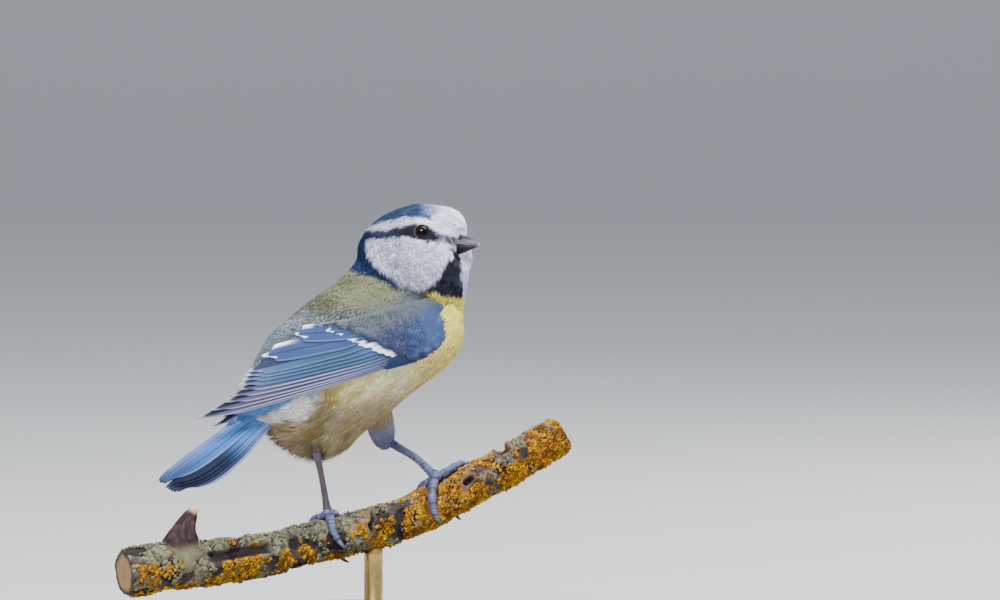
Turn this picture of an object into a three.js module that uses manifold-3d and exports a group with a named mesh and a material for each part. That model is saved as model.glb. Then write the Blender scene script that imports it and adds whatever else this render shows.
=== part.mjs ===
// A life-size blue tit on a cut length of lichened branch, held by a plain display stand.
// Millimetres, +Z up. +X runs to the right of the picture and +Y away from its viewer.
// The origin is the middle of the base's underside.
import * as THREE from "three";
import { mergeVertices } from "three/addons/utils/BufferGeometryUtils.js";
import Module from "manifold-3d";

const wasm = await Module();
wasm.setup();

// Clearance between touching nodes
const GAP = 0.3;

// The body's own frame: it heads away from the viewer, and the head turns back
const BODY_YAW = THREE.MathUtils.degToRad(23);
const HEAD_YAW = THREE.MathUtils.degToRad(-25);
const NECK_X = 15.1;
const NECK_Y = 7;

// Body stations from the bill's root to the tail's root. The back and belly points are
// [x, z] in the plane of the picture, half is the half width, turn the share of the way
// from the body's heading to the head's, and egg makes the upper (+) or lower (-) side wider.
const STATIONS = [
  { back: [28.4, 105.2], belly: [27.6, 100.2], half: 2.6, turn: 1, egg: 0 },
  { back: [27.8, 109.0], belly: [27.8, 98.2], half: 5.4, turn: 1, egg: -0.1 },
  { back: [24.4, 112.2], belly: [28.8, 95.6], half: 8.6, turn: 1, egg: -0.1 },
  { back: [17.0, 112.9], belly: [29.0, 92.8], half: 10.8, turn: 1, egg: -0.12 },
  { back: [8.6, 109.8], belly: [29.0, 90.0], half: 11.9, turn: 1, egg: -0.12 },
  { back: [3.0, 104.4], belly: [29.2, 87.0], half: 12.2, turn: 0.85, egg: -0.08 },
  { back: [0.6, 98.2], belly: [29.6, 83.4], half: 12.6, turn: 0.5, egg: 0 },
  { back: [-3.2, 93.8], belly: [29.4, 78.8], half: 14.0, turn: 0.2, egg: 0 },
  { back: [-8.4, 89.8], belly: [27.2, 74.0], half: 15.0, turn: 0, egg: -0.02 },
  { back: [-13.8, 85.6], belly: [22.8, 69.0], half: 15.6, turn: 0, egg: -0.04 },
  { back: [-18.6, 81.4], belly: [15.4, 63.4], half: 15.6, turn: 0, egg: -0.05 },
  { back: [-21.8, 77.2], belly: [8.4, 57.6], half: 15.0, turn: 0, egg: -0.05 },
  { back: [-24.2, 73.0], belly: [1.2, 52.8], half: 13.4, turn: 0, egg: -0.05 },
  { back: [-26.0, 69.2], belly: [-6.4, 50.2], half: 11.0, turn: 0, egg: 0 },
  { back: [-27.2, 66.0], belly: [-14.0, 52.8], half: 8.2, turn: 0, egg: 0 },
  { back: [-28.2, 63.4], belly: [-20.4, 55.4], half: 5.4, turn: 0, egg: 0 },
];
const BODY_RINGS = 32;
const BODY_SIDES = 26;

// Where the whole body is parted into head, neck and torso
const HEAD_END = 0.335;
const NECK_END = 0.475;

// A three.js geometry as a closed solid
function solid(geometry) {
  const bare = geometry.clone();
  bare.deleteAttribute("normal");
  bare.deleteAttribute("uv");
  const merged = mergeVertices(bare, 1e-4);
  const triVerts = new Uint32Array(merged.index.array);
  const vertProperties = merged.attributes.position.array;
  const made = new wasm.Manifold(new wasm.Mesh({ numProp: 3, vertProperties, triVerts }));
  return made;
}

// A solid as a three.js geometry
function geometryOf(made) {
  const mesh = made.getMesh();
  const geometry = new THREE.BufferGeometry();
  geometry.setAttribute("position", new THREE.BufferAttribute(mesh.vertProperties, 3));
  geometry.setIndex(new THREE.BufferAttribute(mesh.triVerts, 1));
  const flat = geometry.toNonIndexed();
  flat.computeVertexNormals();
  return flat;
}

// The largest closed body of a solid
function largest(made) {
  const pieces = made.decompose();
  return pieces.reduce((a, b) => (b.volume() > a.volume() ? b : a));
}

// A smooth skin through rings of points, closed by a fan at both ends
function loft(rings) {
  const sides = rings[0].length;
  const positions = [];
  rings.forEach((ring) => ring.forEach((p) => positions.push(p.x, p.y, p.z)));
  const middle = (ring) =>
    ring.reduce((sum, p) => sum.add(p), new THREE.Vector3()).divideScalar(sides);
  const first = middle(rings[0]);
  const last = middle(rings[rings.length - 1]);
  positions.push(first.x, first.y, first.z, last.x, last.y, last.z);
  const index = [];
  for (let i = 0; i + 1 < rings.length; i++) {
    for (let j = 0; j < sides; j++) {
      const a = i * sides + j;
      const b = i * sides + ((j + 1) % sides);
      index.push(a, b, b + sides, a, b + sides, a + sides);
    }
  }
  const poles = rings.length * sides;
  const end = (rings.length - 1) * sides;
  for (let j = 0; j < sides; j++) {
    index.push(poles, (j + 1) % sides, j);
    index.push(poles + 1, end + j, end + ((j + 1) % sides));
  }
  const geometry = new THREE.BufferGeometry();
  geometry.setAttribute("position", new THREE.Float32BufferAttribute(positions, 3));
  geometry.setIndex(index);
  const made = solid(geometry);
  if (made.volume() > 0) return made;
  geometry.setIndex(index.map((_, k) => index[k - (k % 3) + (2 - (k % 3))]));
  return solid(geometry);
}

// Station values at a share of the way from bill to tail, by Catmull-Rom
function along(list, share) {
  const place = share * (list.length - 1);
  const i = Math.min(Math.floor(place), list.length - 2);
  const t = place - i;
  const at = (k) => list[Math.max(0, Math.min(list.length - 1, k))];
  const [p0, p1, p2, p3] = [at(i - 1), at(i), at(i + 1), at(i + 2)];
  return (
    0.5 *
    (2 * p1 +
      (p2 - p0) * t +
      (2 * p0 - 5 * p1 + 4 * p2 - p3) * t * t +
      (3 * p1 - p0 - 3 * p2 + p3) * t * t * t)
  );
}

const station = (pick) => STATIONS.map(pick);
const BACK_X = station((s) => s.back[0]);
const BACK_Z = station((s) => s.back[1]);
const BELLY_X = station((s) => s.belly[0]);
const BELLY_Z = station((s) => s.belly[1]);
const HALF = station((s) => s.half);
const TURN = station((s) => s.turn);
const EGG = station((s) => s.egg);

// The frame of one cross section of the body
function section(share) {
  const back = new THREE.Vector3(along(BACK_X, share), 0, along(BACK_Z, share));
  const belly = new THREE.Vector3(along(BELLY_X, share), 0, along(BELLY_Z, share));
  const centre = back.clone().add(belly).multiplyScalar(0.5);
  const turn = along(TURN, share);
  const yaw = BODY_YAW + (HEAD_YAW - BODY_YAW) * turn;
  const slope = Math.tan(share < HEAD_END ? HEAD_YAW : BODY_YAW);
  const centreY = NECK_Y + (centre.x - NECK_X) * slope;
  [back, belly, centre].forEach((p) => {
    p.y = centreY + (p.x - centre.x) * Math.tan(yaw);
  });
  const left = new THREE.Vector3(-Math.sin(yaw), Math.cos(yaw), 0);
  return { centre, up: back.sub(centre), left, half: along(HALF, share), egg: along(EGG, share) };
}

// A point on the body: share runs from bill to tail, angle from the back over the left side
function bodyPoint(share, angle, grow = 0) {
  const s = section(share);
  const reach = s.up.length();
  const rise = Math.cos(angle);
  const width = (s.half + grow) * Math.sin(angle) * (1 + s.egg * rise);
  return s.centre
    .clone()
    .addScaledVector(s.up, (rise * (reach + grow)) / reach)
    .addScaledVector(s.left, width);
}

function body(grow = 0) {
  const rings = [];
  for (let i = 0; i < BODY_RINGS; i++) {
    const share = i / (BODY_RINGS - 1);
    const ring = [];
    for (let j = 0; j < BODY_SIDES; j++) {
      ring.push(bodyPoint(share, (2 * Math.PI * j) / BODY_SIDES, grow));
    }
    rings.push(ring);
  }
  if (grow > 0) {
    const shifted = (ring, way) => ring.map((p) => p.clone().addScaledVector(way, grow));
    rings.unshift(shifted(rings[0], heading(HEAD_YAW)));
    rings.push(shifted(rings[rings.length - 1], heading(BODY_YAW).negate()));
  }
  return loft(rings);
}

function heading(yaw) {
  return new THREE.Vector3(Math.cos(yaw), Math.sin(yaw), 0);
}

// A point given in a frame through the neck: forward, to the bird's right, and height
function inFrame(yaw, forward, right, z) {
  return new THREE.Vector3(
    NECK_X + forward * Math.cos(yaw) + right * Math.sin(yaw),
    NECK_Y + forward * Math.sin(yaw) - right * Math.cos(yaw),
    z,
  );
}

// A round rod through points, its radius running through a list, with rounded ends
function tube(points, radii, rings = 10, sides = 8) {
  const path = new THREE.CatmullRomCurve3(points, false, "centripetal");
  const made = [];
  let across = new THREE.Vector3(0.31, -0.83, 0.47);
  const ringAt = (centre, tangent, radius) => {
    across = across.clone().addScaledVector(tangent, -across.dot(tangent)).normalize();
    const side = tangent.clone().cross(across);
    const ring = [];
    for (let j = 0; j < sides; j++) {
      const angle = (2 * Math.PI * j) / sides;
      ring.push(
        centre
          .clone()
          .addScaledVector(across, radius * Math.cos(angle))
          .addScaledVector(side, radius * Math.sin(angle)),
      );
    }
    return ring;
  };
  for (let i = 0; i <= rings; i++) {
    const share = i / rings;
    const centre = path.getPointAt(share);
    const tangent = path.getTangentAt(share);
    const radius = along(radii, share);
    const before = centre.clone().addScaledVector(tangent, -radius * 0.6);
    const after = centre.clone().addScaledVector(tangent, radius * 0.6);
    if (i === 0) made.push(ringAt(before, tangent, radius * 0.7));
    made.push(ringAt(centre, tangent, radius));
    if (i === rings) made.push(ringAt(after, tangent, radius * 0.7));
  }
  return loft(made);
}

function ball(centre, radii, yaw = 0, pitch = 0, columns = 20) {
  const geometry = new THREE.SphereGeometry(1, columns, Math.round(columns * 0.6));
  const turn = new THREE.Euler(0, -pitch, yaw, "ZYX");
  const place = new THREE.Matrix4().compose(
    centre,
    new THREE.Quaternion().setFromEuler(turn),
    new THREE.Vector3(...radii),
  );
  return solid(geometry.applyMatrix4(place));
}

// Cross cuts that part the body into three nodes a thin gap apart
function cutPlane(share) {
  const s = section(share);
  const normal = s.up.clone().cross(s.left).normalize();
  if (normal.x > 0) normal.negate();
  return { normal, offset: normal.dot(s.centre) };
}

function between(made, front, rear) {
  let kept = made;
  if (front) {
    kept = kept.trimByPlane(front.normal.toArray(), front.offset + GAP / 2);
  }
  if (rear) {
    kept = kept.trimByPlane(rear.normal.clone().negate().toArray(), -rear.offset + GAP / 2);
  }
  return kept;
}

// Eyes: a ball set in the side of the head, with a lid ring standing round it
const EYE = { forward: 7.7, right: 9.0, z: 106.0 };
const EYE_RADIUS = 2.2;
const EYE_DEPTH = 1.4;
const EYE_FACING = { forward: 0.42, right: 0.84, z: 0.34 };
const LID_RING = 2.1;
const LID_THICK = 0.42;

function eyeFrame(side) {
  const surface = inFrame(HEAD_YAW, EYE.forward, EYE.right * side, EYE.z);
  const origin = inFrame(HEAD_YAW, 0, 0, 0);
  const facing = inFrame(HEAD_YAW, EYE_FACING.forward, EYE_FACING.right * side, EYE_FACING.z)
    .sub(origin)
    .normalize();
  return { surface, facing };
}

function eyeball(side, grow = 0) {
  const { surface, facing } = eyeFrame(side);
  const centre = surface.clone().addScaledVector(facing, -EYE_DEPTH);
  const radius = EYE_RADIUS + grow;
  return ball(centre, [radius, radius, radius], 0, 0, 16);
}

function lidRing(side) {
  const { surface, facing } = eyeFrame(side);
  const geometry = new THREE.TorusGeometry(LID_RING, LID_THICK, 6, 22);
  const turn = new THREE.Quaternion().setFromUnitVectors(new THREE.Vector3(0, 0, 1), facing);
  geometry.applyQuaternion(turn);
  geometry.translate(surface.x, surface.y, surface.z);
  return solid(geometry);
}

// Bill: two half cones that meet along the mouth line, their roots sunk in the face
const BILL_ROOT = { forward: 9.0, z: 102.5 };
const BILL_LENGTH = 11.2;
const BILL_DROP = -0.2;
const BILL_WIDTH = [2.1, 2.05, 1.9, 1.55, 1.0, 0.25];
const UPPER_HEIGHT = [2.9, 2.85, 2.65, 2.15, 1.4, 0.4];
const LOWER_HEIGHT = [2.4, 2.3, 2.05, 1.6, 1.0, 0.25];
const MOUTH_GAP = 0.3;

function mandible(upper) {
  const heights = upper ? UPPER_HEIGHT : LOWER_HEIGHT;
  const rings = [];
  const count = 12;
  const arc = 10;
  for (let i = 0; i <= count; i++) {
    const share = i / count;
    const length = upper ? BILL_LENGTH : BILL_LENGTH - 0.5;
    const width = along(BILL_WIDTH, share) * (upper ? 1 : 0.9);
    const height = along(heights, share);
    const mouth = BILL_ROOT.z + BILL_DROP * share * share;
    const ring = [];
    for (let j = 0; j <= arc; j++) {
      const angle = (Math.PI * j) / arc;
      const rise = Math.sin(angle) * height + MOUTH_GAP / 2;
      const right = Math.cos(angle) * width;
      const z = mouth + (upper ? rise : -rise);
      ring.push(inFrame(HEAD_YAW, BILL_ROOT.forward + share * length, right, z));
    }
    rings.push(ring);
  }
  return loft(rings);
}

const NOSTRIL = { forward: 14.9, right: 1.75, z: 104.1, radii: [0.75, 0.4, 0.35] };

// Wings are laid out in the picture's plane: a runs from the bend to the tip, b is above
// the chord between them, and q is how far the surface stands out from the bird's middle.
const WING_BEND = [25.13, 79.23];
const WING_CHORD = [-0.9532, -0.3024];
const WING_RISE = [-0.3024, 0.9532];
const WING_LENGTH = 67;
const WING_OUT = [14.6, 16.8, 17.2, 16.4, 13.9, 10.2, 6.6, 3.8];
const WING_CURL = [0.006, 0.018, 0.024, 0.03, 0.038, 0.036, 0.03, 0.02];
const FAR_WING_REACH = 0.95;
const FAR_WING_DROP = THREE.MathUtils.degToRad(1);

function wingOut(a, b) {
  const share = Math.max(0, Math.min(1, a / WING_LENGTH));
  const lift = Math.max(0, b);
  const under = Math.max(0, -2 - b);
  return along(WING_OUT, share) - along(WING_CURL, share) * lift * lift - 0.35 * under;
}

function wingPoint(side, reach, b, q) {
  const a = side > 0 ? reach : reach * FAR_WING_REACH;
  const x = WING_BEND[0] + a * WING_CHORD[0] + b * WING_RISE[0];
  let z = WING_BEND[1] + a * WING_CHORD[1] + b * WING_RISE[1];
  const y = NECK_Y + ((x - NECK_X) * Math.sin(BODY_YAW) - q) / Math.cos(BODY_YAW);
  const forward = (x - NECK_X) * Math.cos(BODY_YAW) + (y - NECK_Y) * Math.sin(BODY_YAW);
  if (side > 0) return new THREE.Vector3(x, y, z);
  z -= a * Math.sin(FAR_WING_DROP);
  return inFrame(BODY_YAW, forward, -q, z);
}

// Outline of the folded wing as [a, b] pairs
const WING_TOP = [
  [-2.2, 3.6], [-1.4, 6.3], [1.6, 9.0], [9.9, 9.3], [22, 9.8], [30, 11.5], [36.7, 12.8],
  [41, 11.8], [46.3, 10.0], [50.9, 7.5], [54.3, 5.2], [58.6, 2.8], [63, 1.3], [67.2, 0.2],
];
const WING_BOTTOM = [
  [-2.2, 1.8], [-0.6, -0.6], [3.9, -2.8], [8.6, -3.45], [13.9, -3.1], [17.9, -2.9],
  [29.8, -2.4], [40.6, -2.4], [56.5, -1.7], [67.2, -0.6],
];

function outlineAt(line, a) {
  for (let i = 1; i < line.length; i++) {
    if (a <= line[i][0]) {
      const [a0, b0] = line[i - 1];
      const [a1, b1] = line[i];
      return b0 + ((b1 - b0) * (a - a0)) / (a1 - a0);
    }
  }
  return line[line.length - 1][1];
}

// A closed plate over a grid of places: face(u, v) gives the outer and inner points
function plate(face, columns, rows) {
  const positions = [];
  const index = [];
  const stride = rows + 1;
  const layer = (columns + 1) * stride;
  for (let k = 0; k < 2; k++) {
    for (let i = 0; i <= columns; i++) {
      for (let j = 0; j <= rows; j++) {
        const p = face(i / columns, j / rows)[k];
        positions.push(p.x, p.y, p.z);
      }
    }
  }
  const quad = (a, b, c, d) => index.push(a, b, c, a, c, d);
  for (let i = 0; i < columns; i++) {
    for (let j = 0; j < rows; j++) {
      const a = i * stride + j;
      quad(a, a + stride, a + stride + 1, a + 1);
      const c = a + layer;
      index.push(c, c + stride + 1, c + stride, c, c + 1, c + stride + 1);
    }
  }
  for (let i = 0; i < columns; i++) {
    const low = i * stride;
    quad(low, low + layer, low + stride + layer, low + stride);
    const high = low + rows;
    quad(high, high + stride, high + stride + layer, high + layer);
  }
  for (let j = 0; j < rows; j++) {
    quad(j, j + 1, j + 1 + layer, j + layer);
    const end = columns * stride + j;
    quad(end, end + layer, end + 1 + layer, end + 1);
  }
  const geometry = new THREE.BufferGeometry();
  geometry.setAttribute("position", new THREE.Float32BufferAttribute(positions, 3));
  geometry.setIndex(index);
  const made = solid(geometry);
  if (made.volume() > 0) return made;
  geometry.setIndex(index.map((_, k) => index[k - (k % 3) + (2 - (k % 3))]));
  return solid(geometry);
}

// The arm and its small coverts, thinning out under the roots of the flight feathers
const ARM_START = -2.2;
const ARM_LENGTH = 50;

function wingArm(side) {
  return plate(
    (u, v) => {
      const a = ARM_START + u * ARM_LENGTH;
      const low = outlineAt(WING_BOTTOM, a) + 0.8 * u;
      const high = outlineAt(WING_TOP, a) - 1.2 * u;
      const b = low + v * Math.max(high - low, 0.5);
      const edge = Math.sqrt(Math.max(0, 1 - (2 * v - 1) ** 4)) * Math.min(1, 0.35 + u * 9);
      const sunk = 0.5 + 1.1 * THREE.MathUtils.smoothstep(a, 8, 24);
      const q = wingOut(a, b) + 0.5 - 0.7 * (1 - edge) - sunk;
      const thick = 0.6 + 1.4 * edge * Math.max(0.1, 1 - u);
      return [wingPoint(side, a, b, q), wingPoint(side, a, b, q - thick)];
    },
    22,
    6,
  );
}

// Flight feathers as [a, b] of root and tip and the vane's width, from the outermost
// primary to the innermost tertial. Each lies on the one before it.
const FLIGHT = [
  [[10, -1.6], [62.5, -0.9], 2.6], [[10.5, -1.2], [67, 0], 3.0], [[10.5, -0.8], [63.2, 1.0], 3.2],
  [[10.5, -0.4], [59.1, 1.9], 3.4], [[10.7, 0.2], [57.1, 3.0], 3.4], [[11.5, 1.0], [54.7, 3.9], 3.5],
  [[12.5, 1.8], [54.1, 5.0], 3.6], [[13.8, 2.8], [53.0, 6.0], 3.7], [[15.5, 4.0], [51.9, 6.8], 3.9],
  [[17.5, 5.6], [50.9, 7.6], 4.4], [[19.5, 7.2], [46.3, 10.1], 5.0], [[21.5, 9.0], [36.7, 12.8], 4.6],
];
const VANE_THICK = 0.55;
const VANE_TUCK = 0.16;
const VANE_SHAPE = [0.55, 0.9, 1, 1, 0.95, 0.78, 0.2];
const FLIGHT_LIFT = { first: -1.0, step: 0.17 };

// The rows of coverts: tips from the lower edge to the top, how far each feather reaches
// back under the row before it, its width, and how high the row lies
const COVERT_ROWS = [
  { count: 8, low: [14.6, 0.2], high: [27.1, 10.3], back: 10, width: 2.9, lift: 0.75 },
  { count: 6, low: [8.4, 0.6], high: [19.6, 9.4], back: 7.5, width: 3.2, lift: 1.0 },
  { count: 3, low: [18.2, -2.2], high: [16.6, -0.6], back: 10, width: 1.7, lift: 0.5 },
];

// One feather of the folded wing
function wingVane(side, root, tip, width, lift, columns) {
  const run = tip[0] - root[0];
  const rise = tip[1] - root[1];
  const length = Math.hypot(run, rise);
  return plate(
    (u, v) => {
      const out = (2 * v - 1) * 0.5 * width * along(VANE_SHAPE, u);
      const a = root[0] + run * u - (rise / length) * out;
      const b = root[1] + rise * u + (run / length) * out;
      const q = wingOut(a, b) + lift - VANE_TUCK * (2 * v - 1);
      return [wingPoint(side, a, b, q), wingPoint(side, a, b, q - VANE_THICK)];
    },
    columns,
    1,
  );
}

function wing(side) {
  let made = wingArm(side);
  FLIGHT.forEach(([root, tip, width], k) => {
    made = made.add(wingVane(side, root, tip, width, FLIGHT_LIFT.first + k * FLIGHT_LIFT.step, 6));
  });
  for (const row of COVERT_ROWS) {
    for (let k = 0; k < row.count; k++) {
      const share = k / (row.count - 1);
      const vary = 0.35 * Math.sin(2.6 * k + 1);
      const tip = row.low.map((low, axis) => low + (row.high[axis] - low) * share);
      const root = [tip[0] - row.back, tip[1] - 0.6 + 0.5 * share];
      tip[0] += vary;
      made = made.add(wingVane(side, root, tip, row.width, row.lift + 0.05 * k, 3));
    }
  }
  return largest(made.subtract(body(GAP)));
}

// Tail: a narrow fan hung from the rump, rolled toward its right side
const TAIL_ROOT = { forward: -29.6, z: 68.0 };
const TAIL_PITCH = THREE.MathUtils.degToRad(33.2);
const TAIL_ROLL = THREE.MathUtils.degToRad(33);
const TAIL_LENGTH = 46.2;
const TAIL_HALF = [3.0, 3.4, 4.3, 5.3, 5.5, 4.0];
const TAIL_DRIFT = [0, 0.2, 0.9, 1.6, 1.6, 0.6];

function tailPoint(place, across, out) {
  const way = heading(BODY_YAW).negate().multiplyScalar(Math.cos(TAIL_PITCH));
  way.z = -Math.sin(TAIL_PITCH);
  const right = new THREE.Vector3(Math.sin(BODY_YAW), -Math.cos(BODY_YAW), 0);
  const up = right.clone().cross(way).normalize();
  if (up.z < 0) up.negate();
  const cos = Math.cos(TAIL_ROLL);
  const sin = Math.sin(TAIL_ROLL);
  const wide = right.clone().multiplyScalar(cos).addScaledVector(up, -sin);
  const normal = up.clone().multiplyScalar(cos).addScaledVector(right, sin);
  return inFrame(BODY_YAW, TAIL_ROOT.forward, 0, TAIL_ROOT.z)
    .addScaledVector(way, place)
    .addScaledVector(wide, across)
    .addScaledVector(normal, out);
}

// Its root is one plate, and its feathers fan from there, the middle pair on top
function tailPlate() {
  return plate(
    (u, v) => {
      const across = (2 * v - 1) * along(TAIL_HALF, u * 0.5) * 0.8;
      const place = u * TAIL_LENGTH * 0.5;
      const arch = -0.045 * across * across - 0.4;
      const drift = along(TAIL_DRIFT, u * 0.5);
      return [
        tailPoint(place, across + drift, arch),
        tailPoint(place, across + drift, arch - 1.1 + 0.4 * u),
      ];
    },
    6,
    4,
  );
}

const TAIL_FEATHERS = 12;
const TAIL_VANE = 4.2;
const TAIL_STEP = 0.24;
const TAIL_ENDS = [0.4, 0, 0.2, 0.5, 1.0, 1.9];
const TAIL_SHAPE = [0.5, 0.75, 0.95, 1, 0.9, 0.28];

// A tail feather: pair 0 lies in the middle, pair 5 at the edge, side -1 or 1
function tailVane(pair, side) {
  const fan = (side * (pair + 0.35)) / (TAIL_FEATHERS / 2 - 0.35);
  return plate(
    (u, v) => {
      const half = Math.max(0.4, along(TAIL_HALF, u) - (TAIL_VANE / 2) * along(TAIL_SHAPE, u) * 0.8);
      const middle = fan * half + along(TAIL_DRIFT, u);
      const across = middle + (2 * v - 1) * 0.5 * TAIL_VANE * along(TAIL_SHAPE, u);
      const place = u * (TAIL_LENGTH - TAIL_ENDS[pair]);
      const out = -0.045 * across * across - TAIL_STEP * pair + 0.06 * side + 0.12 * side * (2 * v - 1);
      return [tailPoint(place, across, out + 0.3), tailPoint(place, across, out - 0.25)];
    },
    6,
    1,
  );
}

function tail() {
  let made = tailPlate();
  for (let pair = 0; pair < TAIL_FEATHERS / 2; pair++) {
    made = made.add(tailVane(pair, -1)).add(tailVane(pair, 1));
  }
  return largest(made.subtract(body(GAP)));
}

// Perch: the middle line of the branch as [x, z], its radius, and its slant from the viewer
const BRANCH = [
  [-56.5, 20.8, 5.7], [-46, 22.0, 5.9], [-36, 22.6, 5.6], [-25.6, 23.6, 5.2], [-15, 25.2, 4.9],
  [-6.4, 27.2, 4.9], [3, 29.2, 5.0], [12.8, 31.7, 4.9], [20.5, 34.6, 4.9], [29, 39.0, 4.9],
  [38.5, 43.9, 4.8], [46, 47.8, 4.7], [54, 52.0, 4.6],
];
const BRANCH_SLANT = 0.467;
const BRANCH_NEAR = { x: -6.4, y: -9 };
const BRANCH_RINGS = 34;
const BRANCH_SIDES = 13;
const branchY = (x) => BRANCH_NEAR.y + (x - BRANCH_NEAR.x) * BRANCH_SLANT;
const branchLine = new THREE.CatmullRomCurve3(
  BRANCH.map(([x, z]) => new THREE.Vector3(x, branchY(x), z)),
  false,
  "centripetal",
);
const branchRadii = BRANCH.map((row) => row[2]);

// Place on the branch by its x, the angle round from the top to the viewer's side, and height
function onBranch(x, degrees, height) {
  let share = 0.5;
  for (let k = 0; k < 30; k++) share += (x - branchLine.getPoint(share).x) / 115;
  const centre = branchLine.getPoint(share);
  const tangent = branchLine.getTangent(share);
  const { up, near } = branchAxes(tangent);
  const angle = THREE.MathUtils.degToRad(degrees);
  const reach = along(branchRadii, share) + height;
  return centre
    .addScaledVector(up, Math.cos(angle) * reach)
    .addScaledVector(near, Math.sin(angle) * reach);
}

function branchAxes(tangent) {
  const up = new THREE.Vector3(0, 0, 1).addScaledVector(tangent, -tangent.z).normalize();
  return { up, near: tangent.clone().cross(up).normalize() };
}

function branch() {
  const rings = [];
  for (let i = 0; i <= BRANCH_RINGS; i++) {
    const share = i / BRANCH_RINGS;
    const centre = branchLine.getPoint(share);
    const { up, near } = branchAxes(branchLine.getTangent(share));
    const radius = along(branchRadii, share);
    const ring = [];
    for (let j = 0; j < BRANCH_SIDES; j++) {
      const angle = (2 * Math.PI * j) / BRANCH_SIDES;
      const knobs =
        0.22 * Math.sin(3 * angle + 21 * share) +
        0.18 * Math.sin(5 * angle - 47 * share + 1) +
        0.16 * Math.sin(61 * share + 2 * angle);
      const reach = radius + knobs;
      ring.push(
        centre
          .clone()
          .addScaledVector(up, Math.cos(angle) * reach)
          .addScaledVector(near, Math.sin(angle) * reach),
      );
    }
    rings.push(ring);
  }
  return loft(rings);
}

// The broken side twig and the split in the bark
function snag() {
  const root = new THREE.Vector3(-42.5, branchY(-42.5) - 1, 23);
  const bend = new THREE.Vector3(-41.6, branchY(-41.6) - 1.6, 30.4);
  const tip = new THREE.Vector3(-38.6, branchY(-38.6) - 1.4, 36.6);
  return tube([root, bend, tip], [5.6, 5.0, 3.6, 1.9, 0.5], 8, 10);
}

function split() {
  const middle = onBranch(-29.2, 66, 0.3);
  return ball(middle, [9.6, 2.2, 1.5], Math.atan(BRANCH_SLANT), 0.19, 18);
}

// Legs
const LEGS = {
  right: {
    thigh: { centre: [-8.9, -10.4, 53.4], radii: [3.0, 2.8, 3.9], yaw: 0.2, pitch: 0.1 },
    tarsus: [[-8.9, -10.4, 52.2], [-8.3, -10.4, 49.4], [-7.1, -9.9, 43.5]],
    knuckle: { x: -4.7, degrees: 6 },
    toes: [
      {
        path: [[-4.5, 6], [-5.3, 34], [-6.0, 66], [-5.6, 84]],
        claw: [[-5.4, 89, 1.2], [-4.4, 106, 1.6], [-3.2, 121, 0.9]],
      },
      {
        path: [[-5.0, -4], [-6.8, -40], [-8.2, -84], [-8.8, -118]],
        claw: [[-8.9, -124, 1.1], [-9.0, -142, 1.3], [-9, -154, 0.4]],
      },
      {
        path: [[-4.6, -6], [-4.2, -48], [-3.6, -100], [-2.8, -142]],
        claw: [[-2.6, -149, 1.1], [-2.0, -168, 1.6], [-1.6, -184, 2.1]],
      },
      {
        path: [[-4.2, -3], [-1.6, -32], [0.6, -70], [2.0, -104]],
        claw: [[2.3, -110, 1.1], [3.0, -128, 1.3], [3.4, -140, 0.4]],
      },
    ],
  },
  left: {
    thigh: { centre: [8.5, 10.6, 53.6], radii: [3.3, 3.1, 4.0], yaw: 0.2, pitch: 0.3 },
    tarsus: [[8.6, 10.8, 52.2], [11.0, 9.9, 50.4], [16.8, 7.4, 47.0]],
    knuckle: { x: 24.3, degrees: 4 },
    toes: [
      {
        path: [[23.8, 6], [21.4, 36], [19.4, 70], [19.0, 94]],
        claw: [[19.0, 99, 1.2], [19.3, 116, 1.5], [20.2, 126, 1.2]],
      },
      {
        path: [[23.6, -5], [21.4, -44], [19.6, -88], [18.6, -120]],
        claw: [[18.5, -126, 1.1], [18.2, -144, 1.3], [18.1, -156, 0.4]],
      },
      {
        path: [[24.2, -6], [24.8, -46], [25.4, -96], [25.8, -136]],
        claw: [[25.9, -143, 1.1], [25.8, -162, 1.6], [25.6, -180, 1.8]],
      },
      {
        path: [[24.6, -2], [27.0, -4], [29.4, -10], [31.8, -24]],
        claw: [[32.4, -29, 1.1], [33.6, -42, 1.3], [34.4, -54, 0.4]],
      },
    ],
  },
};
const TOE_RADII = [1.15, 1.1, 1.0, 0.95, 0.8];
const CLAW_RADII = [0.62, 0.5, 0.36, 0.16];
const TARSUS_RADII = [1.35, 1.15, 1.05, 1.05, 1.15, 1.3];
const KNUCKLE = 1.55;

const vector = (list) => new THREE.Vector3(...list);

function foot(leg, grow = 0) {
  const knuckle = onBranch(leg.knuckle.x, leg.knuckle.degrees, KNUCKLE + GAP);
  let made = ball(knuckle, [KNUCKLE + grow, KNUCKLE + grow, KNUCKLE + grow], 0, 0, 12);
  const radii = TOE_RADII.map((radius) => radius + grow);
  for (const toe of leg.toes) {
    const lift = GAP + 0.95;
    const path = toe.path.map(([x, degrees]) => onBranch(x, degrees, lift));
    made = made.add(tube(path, radii, 7, 6));
  }
  return made;
}

function claw(toe) {
  const path = toe.claw.map(([x, degrees, height]) => onBranch(x, degrees, height));
  return tube(path, CLAW_RADII, 4, 5);
}

function tarsus(leg, grow = 0) {
  const ankle = onBranch(leg.knuckle.x, leg.knuckle.degrees, KNUCKLE + GAP);
  return tube([...leg.tarsus.map(vector), ankle], TARSUS_RADII.map((radius) => radius + grow), 10, 9);
}

function thigh(leg, grow = 0) {
  const { centre, radii, yaw, pitch } = leg.thigh;
  return ball(vector(centre), radii.map((radius) => radius + grow), yaw, pitch, 16);
}

// Display stand
const BASE_RADIUS = 38;
const BASE_HEIGHT = 8;
const BASE_EDGE = 1.2;
const ROD = { x: 6, radius: 2.4 };

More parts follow.
